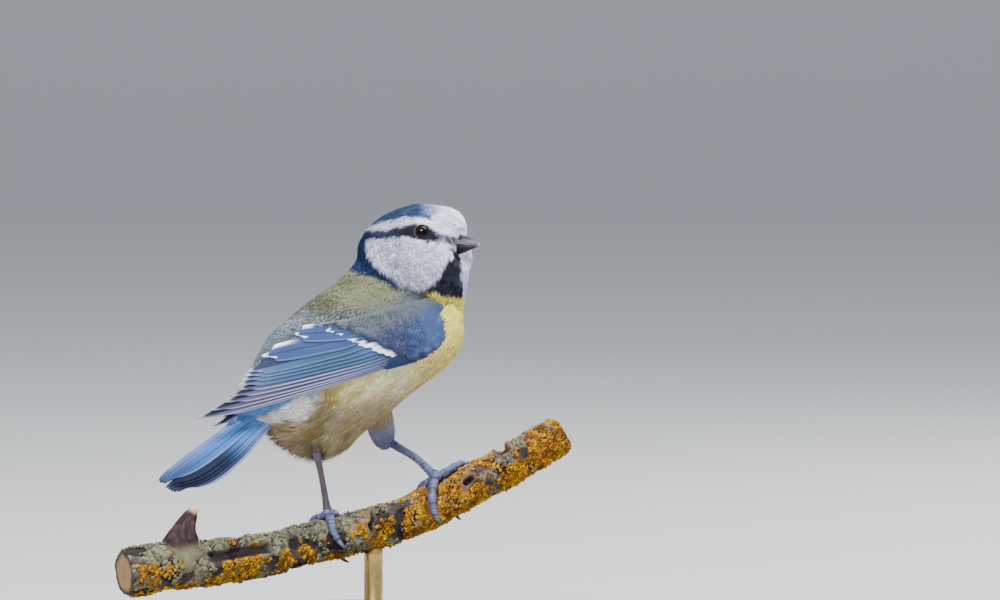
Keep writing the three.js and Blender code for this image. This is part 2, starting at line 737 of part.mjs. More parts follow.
function standBase() {
  const profile = [
    [0, 0], [BASE_RADIUS - 0.6, 0], [BASE_RADIUS, 0.6], [BASE_RADIUS, BASE_HEIGHT - 3.2],
    [BASE_RADIUS - 1.0, BASE_HEIGHT - 2.8], [BASE_RADIUS - 1.6, BASE_HEIGHT - BASE_EDGE],
    [BASE_RADIUS - 2.6, BASE_HEIGHT], [0, BASE_HEIGHT],
  ].map(([r, z]) => new THREE.Vector2(r, z));
  const geometry = new THREE.LatheGeometry(profile, 40);
  geometry.rotateX(Math.PI / 2);
  return solid(geometry);
}

function standRod() {
  const top = 34;
  const geometry = new THREE.CylinderGeometry(ROD.radius, ROD.radius, top - BASE_HEIGHT - GAP, 24);
  geometry.rotateX(Math.PI / 2);
  geometry.translate(ROD.x, branchY(ROD.x), (top + BASE_HEIGHT + GAP) / 2);
  return solid(geometry);
}

const group = new THREE.Group();

function add(name, made, colour, roughness = 0.8, metalness = 0) {
  const material = new THREE.MeshStandardMaterial({ color: colour, roughness, metalness });
  const mesh = new THREE.Mesh(geometryOf(made), material);
  mesh.name = name;
  group.add(mesh);
}

const headCut = cutPlane(HEAD_END);
const neckCut = cutPlane(NECK_END);
const whole = body();
const inflated = body(GAP);
const inflatedEyes = eyeball(1, GAP).add(eyeball(-1, GAP));

let head = between(whole, null, headCut).add(lidRing(1)).add(lidRing(-1));
head = largest(head.subtract(inflatedEyes));
add("head", head, "#cdd0e2");
add("neck", largest(between(whole, headCut, neckCut)), "#7f8578");
add("torso", largest(between(whole, neckCut, null)), "#cfc08a");

for (const [name, side] of [["right", 1], ["left", -1]]) {
  add(`eye_${name}`, eyeball(side), "#15120f", 0.15);
  add(`wing_${name}`, wing(side), "#5f83ab");
}

let upper = mandible(true).subtract(inflated);
for (const side of [1, -1]) {
  const centre = inFrame(HEAD_YAW, NOSTRIL.forward, NOSTRIL.right * side, NOSTRIL.z);
  upper = upper.subtract(ball(centre, NOSTRIL.radii, HEAD_YAW, 0, 12));
}
add("bill_upper", largest(upper), "#5c5864", 0.45);
add("bill_lower", largest(mandible(false).subtract(inflated)), "#2f2b30", 0.45);
add("tail", tail(), "#4f86bd");

let perch = branch().add(snag()).subtract(split());
for (const [name, leg] of Object.entries(LEGS)) {
  const knee = thigh(leg, GAP);
  add(`thigh_${name}`, largest(thigh(leg).subtract(inflated)), "#8b8a9c");
  const shank = tarsus(leg).subtract(knee).subtract(inflated).subtract(foot(leg, GAP));
  add(`tarsus_${name}`, largest(shank), "#606885", 0.6);
  add(`foot_${name}`, largest(foot(leg)), "#6f7796", 0.6);
  leg.toes.forEach((toe, k) => {
    add(`claw_${name}_${k + 1}`, largest(claw(toe).subtract(foot(leg, GAP))), "#4a4a55", 0.4);
    perch = perch.subtract(claw(toe));
  });
  perch = perch.subtract(foot(leg, GAP));
}
perch = largest(perch);
add("perch_branch", perch, "#8c7440", 0.95);
add("stand_base", standBase(), "#3a2a20", 0.5);
add("stand_rod", largest(standRod().subtract(perch)), "#b09a5c", 0.35, 0.9);

export default group;
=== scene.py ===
"""Looks for a life-size blue tit on a cut length of lichened branch.

Millimetres are used throughout and turned to metres as each mesh is made. +X is to the
right of the picture, +Y away from its viewer, +Z up.
"""

import math

import bpy
import numpy as np
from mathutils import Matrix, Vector
from mathutils.kdtree import KDTree


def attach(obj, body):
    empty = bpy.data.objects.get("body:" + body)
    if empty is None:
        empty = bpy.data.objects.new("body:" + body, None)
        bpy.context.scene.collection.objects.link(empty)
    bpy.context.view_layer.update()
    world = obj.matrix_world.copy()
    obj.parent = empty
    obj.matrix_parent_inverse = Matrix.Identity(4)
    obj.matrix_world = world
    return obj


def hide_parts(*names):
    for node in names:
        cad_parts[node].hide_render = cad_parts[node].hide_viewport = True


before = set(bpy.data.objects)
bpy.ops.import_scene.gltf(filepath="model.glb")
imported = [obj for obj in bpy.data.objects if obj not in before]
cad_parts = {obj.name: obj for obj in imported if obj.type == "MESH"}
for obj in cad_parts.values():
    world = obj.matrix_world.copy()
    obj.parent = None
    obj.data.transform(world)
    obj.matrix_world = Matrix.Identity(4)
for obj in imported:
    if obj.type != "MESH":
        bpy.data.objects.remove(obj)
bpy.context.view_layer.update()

MM = 0.001
GAP = 0.3
rng = np.random.default_rng(11)

# The bird's sides: its right one is the near one
SIDE_NAME = {1: "right", -1: "left"}

# The camera looks along +Y, a little downward
PIXELS_PER_MM = 3.9
CAMERA_DROP = math.radians(3.0)
CAMERA_AWAY = 2000.0
CAMERA_TARGET = (38.46, 0.0, 88.2)
SENSOR = 36.0
PICTURE_WIDTH = 1000

# The body's own frame: it heads away from the viewer, and the head turns back
BODY_YAW = math.radians(23.0)
HEAD_YAW = math.radians(-25.0)
NECK_X = 15.1
NECK_Y = 7.0
NECK_BEND = 2.2

# Back x and z, belly x and z, half width, turn of the head and egg shape
STATIONS = np.array([
    (28.4, 105.2, 27.6, 100.2, 2.6, 1, 0),
    (27.8, 109.0, 27.8, 98.2, 5.4, 1, -0.1),
    (24.4, 112.2, 28.8, 95.6, 8.6, 1, -0.1),
    (17.0, 112.9, 29.0, 92.8, 10.8, 1, -0.12),
    (8.6, 109.8, 29.0, 90.0, 11.9, 1, -0.12),
    (3.0, 104.4, 29.2, 87.0, 12.2, 0.85, -0.08),
    (0.6, 98.2, 29.6, 83.4, 12.6, 0.5, 0),
    (-3.2, 93.8, 29.4, 78.8, 14.0, 0.2, 0),
    (-8.4, 89.8, 27.2, 74.0, 15.0, 0, -0.02),
    (-13.8, 85.6, 22.8, 69.0, 15.6, 0, -0.04),
    (-18.6, 81.4, 15.4, 63.4, 15.6, 0, -0.05),
    (-21.8, 77.2, 8.4, 57.6, 15.0, 0, -0.05),
    (-24.2, 73.0, 1.2, 52.8, 13.4, 0, -0.05),
    (-26.0, 69.2, -6.4, 50.2, 11.0, 0, 0),
    (-27.2, 66.0, -14.0, 52.8, 8.2, 0, 0),
    (-28.2, 63.4, -20.4, 55.4, 5.4, 0, 0),
])


def along(values, share):
    """Values at a share of the way through a list, by Catmull-Rom."""
    values = np.asarray(values, dtype=float)
    share = np.clip(share, 0.0, 1.0)
    last = len(values) - 1
    place = share * last
    i = np.minimum(np.floor(place).astype(int), last - 1)
    t = place - i
    p0, p1, p2, p3 = (values[np.clip(i + k, 0, last)] for k in (-1, 0, 1, 2))
    square = t * t
    return 0.5 * (
        2 * p1
        + (p2 - p0) * t
        + (2 * p0 - 5 * p1 + 4 * p2 - p3) * square
        + (3 * p1 - p0 - 3 * p2 + p3) * square * t
    )


def body_point(share, angle, grow=0.0):
    """Points on the body: share from bill to tail, angle from the back over the left side."""
    back_x, back_z, belly_x, belly_z, half, turn, egg = (
        along(STATIONS[:, k], share) for k in range(7)
    )
    mid_x = (back_x + belly_x) / 2
    mid_z = (back_z + belly_z) / 2
    yaw = BODY_YAW + (HEAD_YAW - BODY_YAW) * turn
    ahead = mid_x - NECK_X
    head_slope, body_slope = math.tan(HEAD_YAW), math.tan(BODY_YAW)
    bend = np.sqrt(ahead * ahead + NECK_BEND ** 2)
    mid_y = NECK_Y + ((head_slope + body_slope) * ahead + (head_slope - body_slope) * bend) / 2
    centre = np.stack([mid_x, mid_y, mid_z], -1)
    rise_x = back_x - mid_x
    up = np.stack([rise_x, rise_x * np.tan(yaw), back_z - mid_z], -1)
    left = np.stack([-np.sin(yaw), np.cos(yaw), np.zeros_like(yaw)], -1)
    reach = norm(up)
    lift = np.cos(angle) * (reach + grow) / reach
    wide = (half + grow) * np.sin(angle) * (1 + egg * np.cos(angle))
    return centre + up * lift[..., None] + left * wide[..., None]


def body_frame(share, angle):
    """The place, the way toward the tail, the way round and the outward normal."""
    step = 0.004
    at = body_point(share, angle)
    ahead = body_point(np.minimum(share + step, 1), angle)
    behind = body_point(np.maximum(share - step, 0), angle)
    flow = unit(ahead - behind)
    around = unit(body_point(share, angle + 0.02) - body_point(share, angle - 0.02))
    normal = unit(np.cross(around, flow))
    middle = (body_point(share, angle * 0) + body_point(share, angle * 0 + math.pi)) / 2
    normal *= np.sign(np.sum(normal * (at - middle), -1, keepdims=True))
    return at, flow, around, normal


def off_back(angle):
    """The angle from the middle of the back, from 0 to pi on either side."""
    return np.abs((angle + math.pi) % (2 * math.pi) - math.pi)


def norm(v):
    """The lengths of vectors."""
    return np.linalg.norm(v, axis=-1)


def unit(v):
    """Vectors brought to a length of 1."""
    return v / np.maximum(norm(v)[..., None], 1e-9)


def in_frame(yaw, forward, right, z):
    """Points given in a frame through the neck: forward, to the bird's right, height."""
    x = NECK_X + forward * math.cos(yaw) + right * math.sin(yaw)
    y = NECK_Y + forward * math.sin(yaw) - right * math.cos(yaw)
    return np.stack(np.broadcast_arrays(x, y, z), -1)


def in_picture(at):
    """Where places show in the plane of the picture, as x and z."""
    return at[:, 0], at[:, 2] + at[:, 1] * math.sin(CAMERA_DROP)


def smooth(low, high, value):
    """0 at low and 1 at high, with a smooth rise or fall between them."""
    t = np.clip((value - low) / (high - low), 0, 1)
    return t * t * (3 - 2 * t)


def grid(first, second):
    """Every pair of two lists' values, the second running faster."""
    one, two = np.meshgrid(first, second, indexing="ij")
    return one.ravel(), two.ravel()


def full_turn(count):
    """Evenly spaced angles of a full turn."""
    return np.linspace(0, 2 * math.pi, count, endpoint=False)


NOISE_PRIMES = (73856093, 19349663, 83492791)


def noise(points, scale, seed=0):
    """Smooth noise from -1 to 1 at points in space."""
    p = points / scale + seed * 17.3
    cell = np.floor(p).astype(np.int64)
    f = p - cell
    f = f * f * (3 - 2 * f)
    total = 0.0
    for corner in np.ndindex(2, 2, 2):
        x, y, z = ((cell + corner) * NOISE_PRIMES).T
        value = (((x ^ y ^ z) * 2654435761) & 0xFFFF) / 32767.5 - 1
        total = total + value * np.where(corner, f, 1 - f).prod(-1)
    return total


def lie_noise(share, angle, rates, scale, seed):
    """Noise in streaks that run along the body."""
    places = np.stack([share * rates[0], angle * rates[1], angle * 0], -1)
    return noise(places, scale, seed)


def rgb(r, g, b):
    """A colour of 0 to 255 as the light it stands for."""
    c = np.array([r, g, b]) / 255
    return np.where(c <= 0.04045, c / 12.92, ((c + 0.055) / 1.055) ** 2.4)


def mix(a, b, t):
    """A share t of the way from colour a to colour b."""
    t = np.asarray(t)[..., None]
    return a * (1 - t) + b * t


def layers(colour, *coats):
    """A colour with others laid over it in turn, each given with its weight."""
    for tint, weight in coats:
        colour = mix(colour, tint, weight)
    return colour


# Markings, traced on the bird's near side in the plane of the picture
CAP = [
    (4.1, 107.4), (6.2, 108.1), (8.2, 108.6), (10.8, 108.8), (13.3, 109.6), (15.9, 109.9),
    (18.5, 109.5), (20.8, 108.6), (21.3, 110.0), (23.1, 111.5), (24.6, 112.8), (23.1, 116.4),
    (11.5, 116.4), (3.1, 110.8),
]
STRIPE = [
    (3.1, 106.6), (6.7, 106.4), (9.7, 106.5), (12.3, 106.9), (14.1, 107.4), (16.2, 107.7),
    (18.2, 107.8), (20.0, 107.1), (21.5, 106.1), (23.6, 105.3), (25.6, 104.8), (27.7, 104.7),
    (28.7, 103.8), (28.7, 101.9), (26.2, 101.8), (24.4, 102.4), (22.6, 103.0), (20.5, 103.4),
    (18.2, 103.2), (15.9, 103.7), (13.8, 104.6), (10.8, 104.3), (7.2, 104.2), (4.6, 104.2),
]
NAPE = [
    (-8.0, 97.4), (-3.3, 105.6), (2.1, 108.0), (4.6, 106.5), (5.8, 105.4), (4.1, 103.8),
    (3.8, 101.5), (4.4, 99.7), (6.1, 97.6), (8.0, 96.1), (10.4, 94.4), (12.0, 93.2),
    (13.0, 91.0), (10.0, 92.0), (8.2, 92.8), (5.6, 93.8), (3.1, 94.7), (0.5, 95.6),
]
COLLAR = [
    (6.5, 96.2), (8.5, 95.4), (10.8, 93.5), (13.3, 92.2), (15.6, 91.2), (17.9, 90.5),
    (20.0, 91.3), (21.5, 92.6), (22.6, 90.3), (20.0, 88.8), (17.4, 88.8), (14.9, 89.6),
    (12.3, 90.6), (10.0, 91.6), (8.2, 92.4),
]
BIB = [
    (25.4, 101.0), (28.2, 100.8), (29.7, 100.7), (29.2, 99.2), (28.3, 97.9), (28.2, 95.4),
    (28.8, 92.6), (29.8, 90.8), (30.5, 88.7), (26.9, 88.8), (24.4, 89.4), (22.1, 90.1),
    (20.0, 90.8), (22.1, 92.3), (23.3, 94.6), (24.6, 96.9), (25.8, 99.0),
]
HEAD_AREA = [
    (-12.0, 98.6), (-2.6, 97.2), (0.5, 96.0), (3.1, 95.2), (5.6, 94.4), (8.2, 93.5), (10.0, 92.7),
    (12.3, 91.7), (14.9, 90.7), (17.4, 90.1), (20.0, 90.1), (22.1, 90.3), (24.4, 89.6),
    (26.9, 89.0), (30.5, 88.9), (40.0, 88.2), (40.0, 120.0), (-12.0, 120.0),
]
MANTLE = [
    (-20.1, 110.0), (0.5, 100.4), (12.6, 96.0), (18.4, 91.0), (19.5, 90.0),
    (22.4, 87.7), (22.6, 85.2), (19.6, 83.0), (17.6, 79.5), (14.7, 74.7), (5.1, 70.7),
    (-18.8, 63.5), (-20.5, 60.9), (-28.2, 60.7), (-38.1, 72.8), (-23.1, 92.2),
]
VENT = [
    (-23.5, 56.0), (-19.5, 59.0), (-16.2, 61.5), (-13.8, 64.2), (-11.5, 65.6), (-9.2, 64.4),
    (-8.2, 61.5), (-9.2, 59.0), (-11.8, 57.7), (-14.9, 57.4), (-19.0, 55.6), (-23.5, 54.0),
]
TAIL_BASE = [
    (-15.0, 66.5), (-12.4, 64.9), (-16.0, 61.6), (-19.4, 59.2), (-23.4, 56.2), (-32.0, 54.0),
    (-30.0, 66.0),
]
RUMP = [(-12.8, 68.9), (-6.4, 68.6), (-6.7, 64.6), (-8.2, 62.1), (-10.8, 64.9), (-15.8, 64.4)]
FLANK_OLIVE = [
    (-6.2, 67.7), (-3.1, 66.7), (-1.3, 62.1), (-3.1, 56.2), (-6.4, 51.0), (-10.8, 50.3),
    (-12.8, 56.2), (-9.7, 59.0), (-7.9, 62.1), (-6.7, 65.1),
]
GOLD = [(-5.1, 66.2), (0.5, 67.7), (4.1, 65.1), (0.5, 62.1), (-3.6, 61.5)]
BELLY_GREY = [
    (-1.3, 62.1), (7.7, 63.6), (15.4, 64.6), (19.2, 67.6), (20.6, 69.6), (20.8, 66.0),
    (18.9, 61.6), (11.5, 54.4), (4.6, 50.3), (-1.3, 48.8), (-3.8, 54.9),
]
BUFF = [(-24.6, 57.2), (-17.2, 59.2), (-12.8, 57.4), (-10.8, 53.3), (-12.8, 49.8), (-24.6, 50.3)]
WING_AREA = [
    (25.1, 85.9), (27.2, 82.6), (26.2, 79.0), (22.6, 74.9), (16.4, 72.1), (9.0, 70.8),
    (-1.3, 69.0), (-17.9, 64.6), (-39.0, 57.9), (-39.5, 59.5), (-28.2, 66.2), (-21.0, 75.4),
    (-12.8, 81.0), (-3.8, 82.6), (7.7, 83.1), (17.9, 84.1), (22.1, 85.6),
]

# Colours by place
WHITE = rgb(240, 241, 255)
CHEEK_SHADE = rgb(186, 188, 224)
CAP_DEEP = rgb(26, 52, 92)
CAP_MID = rgb(66, 96, 140)
CAP_PALE = rgb(112, 140, 196)
INK = rgb(14, 17, 34)
NAPE_BLUE = rgb(24, 40, 82)
YELLOW = rgb(255, 240, 118)
CREAM = rgb(255, 246, 212)
OLIVE = rgb(118, 122, 94)
BACK_GREY = rgb(158, 168, 182)
SCAPULAR = rgb(102, 112, 122)
SHOULDER_BLUE = rgb(60, 78, 120)
COVERT_BLUE = rgb(66, 76, 108)
RUMP_BLUE = rgb(84, 140, 210)
SHAFT_DARK = rgb(30, 32, 50)
VENT_DARK = rgb(56, 44, 42)
THIGH_SKIN = rgb(112, 110, 126)
# Where olive turns to grey, and grey to the blue of the shoulder: x and z along each border
OLIVE_BORDER = ((-12.0, -5.0, 9.0, 12.8, 20.0), (85.0, 84.5, 86.6, 88.8, 93.5))
BLUE_BORDER = ((-5.0, 0.0, 7.7, 15.4, 20.5, 27.0), (79.0, 80.0, 80.8, 84.2, 87.2, 90.0))


def edge_distance(area, x, z):
    """How far inside an outline each place lies, in millimetres, negative outside."""
    corners = np.array(area)
    nearest = np.full(x.shape, 1e9)
    inside = np.zeros(x.shape, dtype=bool)
    for (x0, z0), (x1, z1) in zip(corners, np.roll(corners, -1, axis=0)):
        dx, dz = x1 - x0, z1 - z0
        t = np.clip(((x - x0) * dx + (z - z0) * dz) / (dx * dx + dz * dz), 0, 1)
        nearest = np.minimum(nearest, np.hypot(x - x0 - t * dx, z - z0 - t * dz))
        if z0 != z1:
            crosses = (z0 > z) != (z1 > z)
            inside ^= crosses & (x < x0 + (z - z0) / dz * dx)
    return np.where(inside, nearest, -nearest)


def within(area, x, z, soft):
    """1 inside an outline and 0 outside, over a soft edge."""
    return smooth(-soft, soft, edge_distance(area, x, z))


def near_side(share, angle):
    """Where a place, or its twin on the near side, shows in the picture."""
    return in_picture(body_point(share, -off_back(angle)))


def back_tint(at, x, z):
    """Olive mantle, grey back and scapulars, blue shoulder, by place in the picture."""
    wave = 0.8 * noise(at, 3.0, 8) + 0.4 * noise(at, 1.0, 9)
    olive = smooth(-3.5, 3.5, z - np.interp(x, *OLIVE_BORDER) + wave)
    blue = smooth(-1.8, 2.6, np.interp(x, *BLUE_BORDER) - z + wave)
    tint = layers(
        mix(SCAPULAR, BACK_GREY, smooth(2, -10, x)),
        (OLIVE, olive * smooth(-24, -6, x)),
        (rgb(132, 156, 190), smooth(-18, -27, x) * smooth(73, 64, z) * 0.5),
    )
    shadow = smooth(-4, 4, x) * smooth(92, 87, z)
    tint = tint * (1 - 0.18 * shadow[..., None])
    shoulder = mix(COVERT_BLUE, SHOULDER_BLUE, smooth(13, 21, x))
    return mix(tint, shoulder, blue * smooth(-9, 0, x))


def head_tint(share, angle, x, z, fine, patch):
    """White head with its blue cap and dark stripe, nape, collar and bib."""
    streaks = lie_noise(share, angle, (40, 28), 1.0, 12)
    # the violet-grey varies at random with fine and patch, and painted shade darkens the lower
    # cheek
    grey_and_painted_shade = 0.25 + 0.5 * fine + 0.3 * patch + 0.5 * smooth(100, 91, z)
    pale = smooth(109.0, 112.0, z) * smooth(17.0, 24, x)
    cap = within(CAP, x, z, 0.5) * (1 - pale * np.clip(0.5 + 0.6 * streaks, 0, 1))
    blues = mix(CAP_DEEP, CAP_MID, np.clip(0.45 + 0.7 * streaks, 0, 1))
    front = smooth(20.5, 22.5, x)
    stripe = within(STRIPE, x, z, 0.4) * np.clip(1.1 - 0.3 * front + 0.25 * fine * front, 0, 1)
    collar = within(COLLAR, x, z, 0.6) * np.clip(1.05 + 0.25 * fine, 0, 1)
    # the head turns the bib's middle a little toward the bird's right side
    bib = within(BIB, x, z, 0.45) * (angle % (2 * math.pi) > math.pi - 0.05)
    return layers(
        mix(WHITE, CHEEK_SHADE, np.clip(grey_and_painted_shade, 0, 1)),
        (mix(blues, CAP_PALE, pale), cap),
        (mix(INK, rgb(50, 58, 92), smooth(15, 8, x)), stripe),
        (NAPE_BLUE, within(NAPE, x, z, 0.6)),
        (NAPE_BLUE * 0.8, collar),
        (mix(INK, rgb(44, 46, 72), np.clip(0.3 + 0.8 * streaks, 0, 1)), bib),
    )


def under_tint(share, angle, x, z, fine, patch):
    """Yellow breast, cream belly with its darker patches and painted shade low down, and pale vent.
    """
    locks = lie_noise(share, angle, (22, 13), 1.0, 13)
    cream = smooth(84, 68, z) * smooth(30, 12, x) * (0.85 + 0.25 * patch)
    under = mix(YELLOW, CREAM, cream)
    under = mix(under, rgb(172, 144, 104), within(BELLY_GREY, x, z, 3.0) * 0.7)
    # painted shade: the belly is darker toward its underside
    low = smooth(66, 51, z) * smooth(-16, -8, x)
    return layers(
        under * (1 - 0.4 * low[..., None]),
        (rgb(196, 168, 84), np.clip(0.55 * locks + 0.1, 0, 0.5) * smooth(76, 66, z)),
        (rgb(112, 90, 42), within(FLANK_OLIVE, x, z, 2.2) * (0.75 + 0.25 * locks)),
        (rgb(214, 188, 96), within(GOLD, x, z, 2.0) * 0.6),
        (rgb(150, 124, 94), within(BUFF, x, z, 1.6) * (0.75 + 0.25 * fine)),
        (rgb(252, 250, 246), within(VENT, x, z, 1.0)),
        (rgb(160, 182, 210), within(RUMP, x, z, 0.9) * 0.9),
    )


def plumage(share, angle, ragged=0.4):
    """The coat's colour at places on the body."""
    x, z = near_side(share, angle)
    at = body_point(share, angle)
    x = x + ragged * noise(at, 0.5, 1) + 0.25 * noise(at, 1.6, 2)
    z = z + ragged * noise(at, 0.5, 3) + 0.25 * noise(at, 1.6, 4)
    patch = noise(at, 5.0, 5)
    fine = noise(at, 0.9, 6)
    band = within(TAIL_BASE, x, z, 0.5) * smooth(0.7, 0.8, share)
    # painted shade: a faint dark smear along the belly's underside
    middle = smooth(0.2, 0.08, math.pi - off_back(angle)) * smooth(0.58, 0.64, share)
    return layers(
        under_tint(share, angle, x, z, fine, patch),
        (mix(RUMP_BLUE, rgb(120, 176, 238), 0.5 + 0.5 * fine), band),
        (rgb(110, 98, 96), middle * smooth(0.84, 0.78, share) * 0.15),
        (back_tint(at, x, z), within(MANTLE, x, z, 0.7) * (1 - band)),
        (
            head_tint(share, angle, x, z, fine, patch),
            within(HEAD_AREA, x, z, 0.5) * smooth(0.56, 0.5, share),
        ),
    )


# Meshes
def new_mesh(name, points, faces, colours=None, vane=None, bake=None):
    """A mesh object from millimetre points, and faces of one size as rows of indices."""
    faces = np.asarray(faces, dtype=np.int32)
    mesh = bpy.data.meshes.new(name)
    mesh.vertices.add(len(points))
    mesh.vertices.foreach_set("co", (np.asarray(points) * MM).astype(np.float32).ravel())
    mesh.loops.add(faces.size)
    mesh.loops.foreach_set("vertex_index", faces.ravel())
    mesh.polygons.add(len(faces))
    starts = np.arange(0, faces.size, faces.shape[1], dtype=np.int32)
    mesh.polygons.foreach_set("loop_start", starts)
    mesh.polygons.foreach_set("use_smooth", np.full(len(faces), True))
    mesh.update(calc_edges=True)
    if colours is not None:
        paint(mesh, colours)
    for layer, values in (("OFBake", bake), ("Vane", vane)):
        if values is not None:
            uv = mesh.uv_layers.new(name=layer)
            uv.data.foreach_set("uv", values[faces.ravel()].astype(np.float32).ravel())
    obj = bpy.data.objects.new(name, mesh)
    bpy.context.scene.collection.objects.link(obj)
    return obj


def paint(mesh, colours):
    """Gives a mesh its colours, one for each point."""
    layer = mesh.color_attributes.new("Tint", "FLOAT_COLOR", "POINT")
    rows = np.concatenate([np.clip(colours, 0, 1), np.ones((len(colours), 1))], -1)
    layer.data.foreach_set("color", rows.astype(np.float32).ravel())


def join(parts):
    """Several sets of points, faces and values of the points as one set."""
    points, faces, *values = zip(*parts)
    starts = np.cumsum([0, *(len(p) for p in points)])
    faces = [rows + start for rows, start in zip(faces, starts)]
    return [np.concatenate(rows) for rows in (points, faces, *values)]


def ring_faces(rings, sides, flip=False):
    """Quads between rings of the same number of points."""
    i, j = grid(np.arange(rings - 1), np.arange(sides))
    a = i * sides + j
    b = i * sides + (j + 1) % sides
    quads = np.stack([a, b, b + sides, a + sides], -1)
    return quads[:, [0, 3, 2, 1]] if flip else quads


def closed_rings(rings, flip=False):
    """Points and quads of a body through rings of points, with a pole at each end."""
    count, sides = rings.shape[:2]
    poles = count * sides
    j = np.arange(0, sides, 2)
    corners = [j, (j + 1) % sides, (j + 2) % sides]
    ends = [
        np.stack([np.full(len(j), poles), *corners[::-1]], -1),
        np.stack([np.full(len(j), poles + 1), *(poles - sides + c for c in corners)], -1),
    ]
    if flip:
        ends = [end[:, [0, 3, 2, 1]] for end in ends]
    points = np.concatenate([rings.reshape(-1, 3), [rings[0].mean(0), rings[-1].mean(0)]])
    return points, np.concatenate([ring_faces(count, sides, flip), *ends])


# Each barb's two rings: share of its length, share of its width. It then ends in a point
STRAND_RINGS = ((0.0, 0.8), (0.5, 1.0))
GOLDEN_ANGLE = 2.399
BAKE_SPREAD = 0.0015


def strands(name, roots, ways, normals, lengths, widths, tints, places, lift, droop):
    """Solid tapered barbs, one for each root, lying along the coat."""
    side = unit(np.cross(ways, normals))
    rings = []
    painted_shades = []
    # painted shade: each strand is darker at its root and lighter toward its tip
    for share, wide in STRAND_RINGS:
        rise = (lift * share - droop * share * share) * lengths
        centre = roots + ways * (lengths * share)[:, None] + normals * rise[:, None]
        half = (widths * wide / 2)[:, None]
        rings += [centre - side * half, centre + side * half, centre + normals * half * 0.5]
        painted_shades += [0.86 + 0.2 * share] * 3
    rise = (lift - droop) * lengths
    rings.append(roots + ways * lengths[:, None] + normals * rise[:, None])
    painted_shades.append(1.04)
    each = len(rings)
    pattern = [(0, 1, 2)]
    for a, b in ((0, 1), (1, 2), (2, 0)):
        pattern += [(a, a + 3, b + 3), (a, b + 3, b)]
    pattern += [(3 + a, 6, 3 + b) for a, b in ((0, 1), (1, 2), (2, 0))]
    starts = np.arange(len(roots))[:, None, None] * each
    # the map holds a small patch for each barb, at its root's own place
    turn = np.arange(each) * GOLDEN_ANGLE
    wide = BAKE_SPREAD * (0.3 + 0.7 * np.arange(each) / each)
    patch = np.stack([np.cos(turn) * wide, np.sin(turn) * BAKE_SPREAD], -1)
    return new_mesh(
        name, np.stack(rings, 1).reshape(-1, 3), (starts + np.array(pattern)).reshape(-1, 3),
        (tints[:, None, :] * np.array(painted_shades)[None, :, None]).reshape(-1, 3),
        bake=np.clip(places[:, None, :] * 0.99 + 0.005 + patch, 0, 1).reshape(-1, 2),
    )


# Eyes
EYE = {"forward": 8.0, "right": 8.95, "z": 105.85}
EYE_FACING = {"forward": 0.42, "right": 0.84, "z": 0.34}
EYE_RADIUS = 2.35
EYE_DEPTH = 1.5
LID_RADIUS = 1.98

# Bill
BILL_ROOT = {"forward": 9.0, "z": 102.5}
BILL_LENGTH = 11.2
BILL_BASE = in_frame(HEAD_YAW, 13.6, 0, 102.4)


def eye_frame(side):
    """Where an eye comes out of the head, and the way it faces."""
    surface = in_frame(HEAD_YAW, EYE["forward"], EYE["right"] * side, EYE["z"])
    facing = in_frame(HEAD_YAW, EYE_FACING["forward"], EYE_FACING["right"] * side, EYE_FACING["z"])
    return surface, unit(facing - in_frame(HEAD_YAW, 0, 0, 0))


def eye_distance(at):
    """How far each place is from the nearer eye."""
    surfaces = [eye_frame(side)[0] for side in SIDE_NAME]
    return np.min([norm(at - surface) for surface in surfaces], axis=0)


def bill_distance(at):
    """How far each place is from the root of the bill."""
    return norm(at - BILL_BASE)


def bare(at, share):
    """How much of its full depth the coat has: little at the eyes and the bill."""
    depth = np.minimum(
        smooth(1.9, 5.0, eye_distance(at)), smooth(2.0, 6.0, bill_distance(at))
    )
    return depth * (0.45 + 0.55 * smooth(0.2, 0.5, share))


def sunken(at):
    """How far the face gives way round the eyes and the root of the bill."""
    return np.maximum(
        1.1 * smooth(4.2, 2.6, bill_distance(at)), 0.95 * smooth(3.0, 1.8, eye_distance(at))
    )


COAT_DEPTH = 1.3

# Wings: a runs from bend to tip, b is above the chord, q is how far it stands out
WING_BEND = (25.13, 79.23)
WING_CHORD = (-0.9532, -0.3024)
WING_RISE = (-0.3024, 0.9532)
WING_LENGTH = 67.0
WING_OUT = [14.6, 16.8, 17.2, 16.4, 13.9, 10.2, 6.6, 3.8]
WING_CURL = [0.006, 0.018, 0.024, 0.03, 0.038, 0.036, 0.03, 0.02]
FAR_WING_REACH = 0.9
FAR_WING_DROP = math.radians(4.2)
FAR_WING_HEIGHT = 0.82

# Where the coat stands fuller than the body's stations say
FOREHEAD = {"x": 27.0, "z": 108.3, "reach": 3.2, "rise": 0.9}
SHOULDER_SWELL = 2.7


def swell(share, angle):
    """Where the coat stands fuller: on the forehead and along the wing's upper edge."""
    x, z = near_side(share, angle)
    away = np.hypot(x - FOREHEAD["x"], z - FOREHEAD["z"]) / FOREHEAD["reach"]
    brow = FOREHEAD["rise"] * np.exp(-away ** 2) * smooth(0.3, 0.2, share)
    b = (x - WING_BEND[0]) * WING_RISE[0] + (z - WING_BEND[1]) * WING_RISE[1]
    a = (x - WING_BEND[0]) * WING_CHORD[0] + (z - WING_BEND[1]) * WING_CHORD[1]
    over = smooth(-15.0, 0.0, edge_distance(WING_AREA, x, z)) * smooth(3, 6, b)
    over = over * smooth(34, 20, a) * smooth(0.36, 0.58, share)
    return brow + SHOULDER_SWELL * over * smooth(0.2, 0.8, off_back(angle))


def wing_out(a, b):
    """How far the wing's surface stands out from the body's middle plane."""
    share = np.clip(a / WING_LENGTH, 0, 1)
    lift = np.maximum(0, b)
    under = np.maximum(0, -2 - b)
    return along(WING_OUT, share) - along(WING_CURL, share) * lift * lift - 0.35 * under


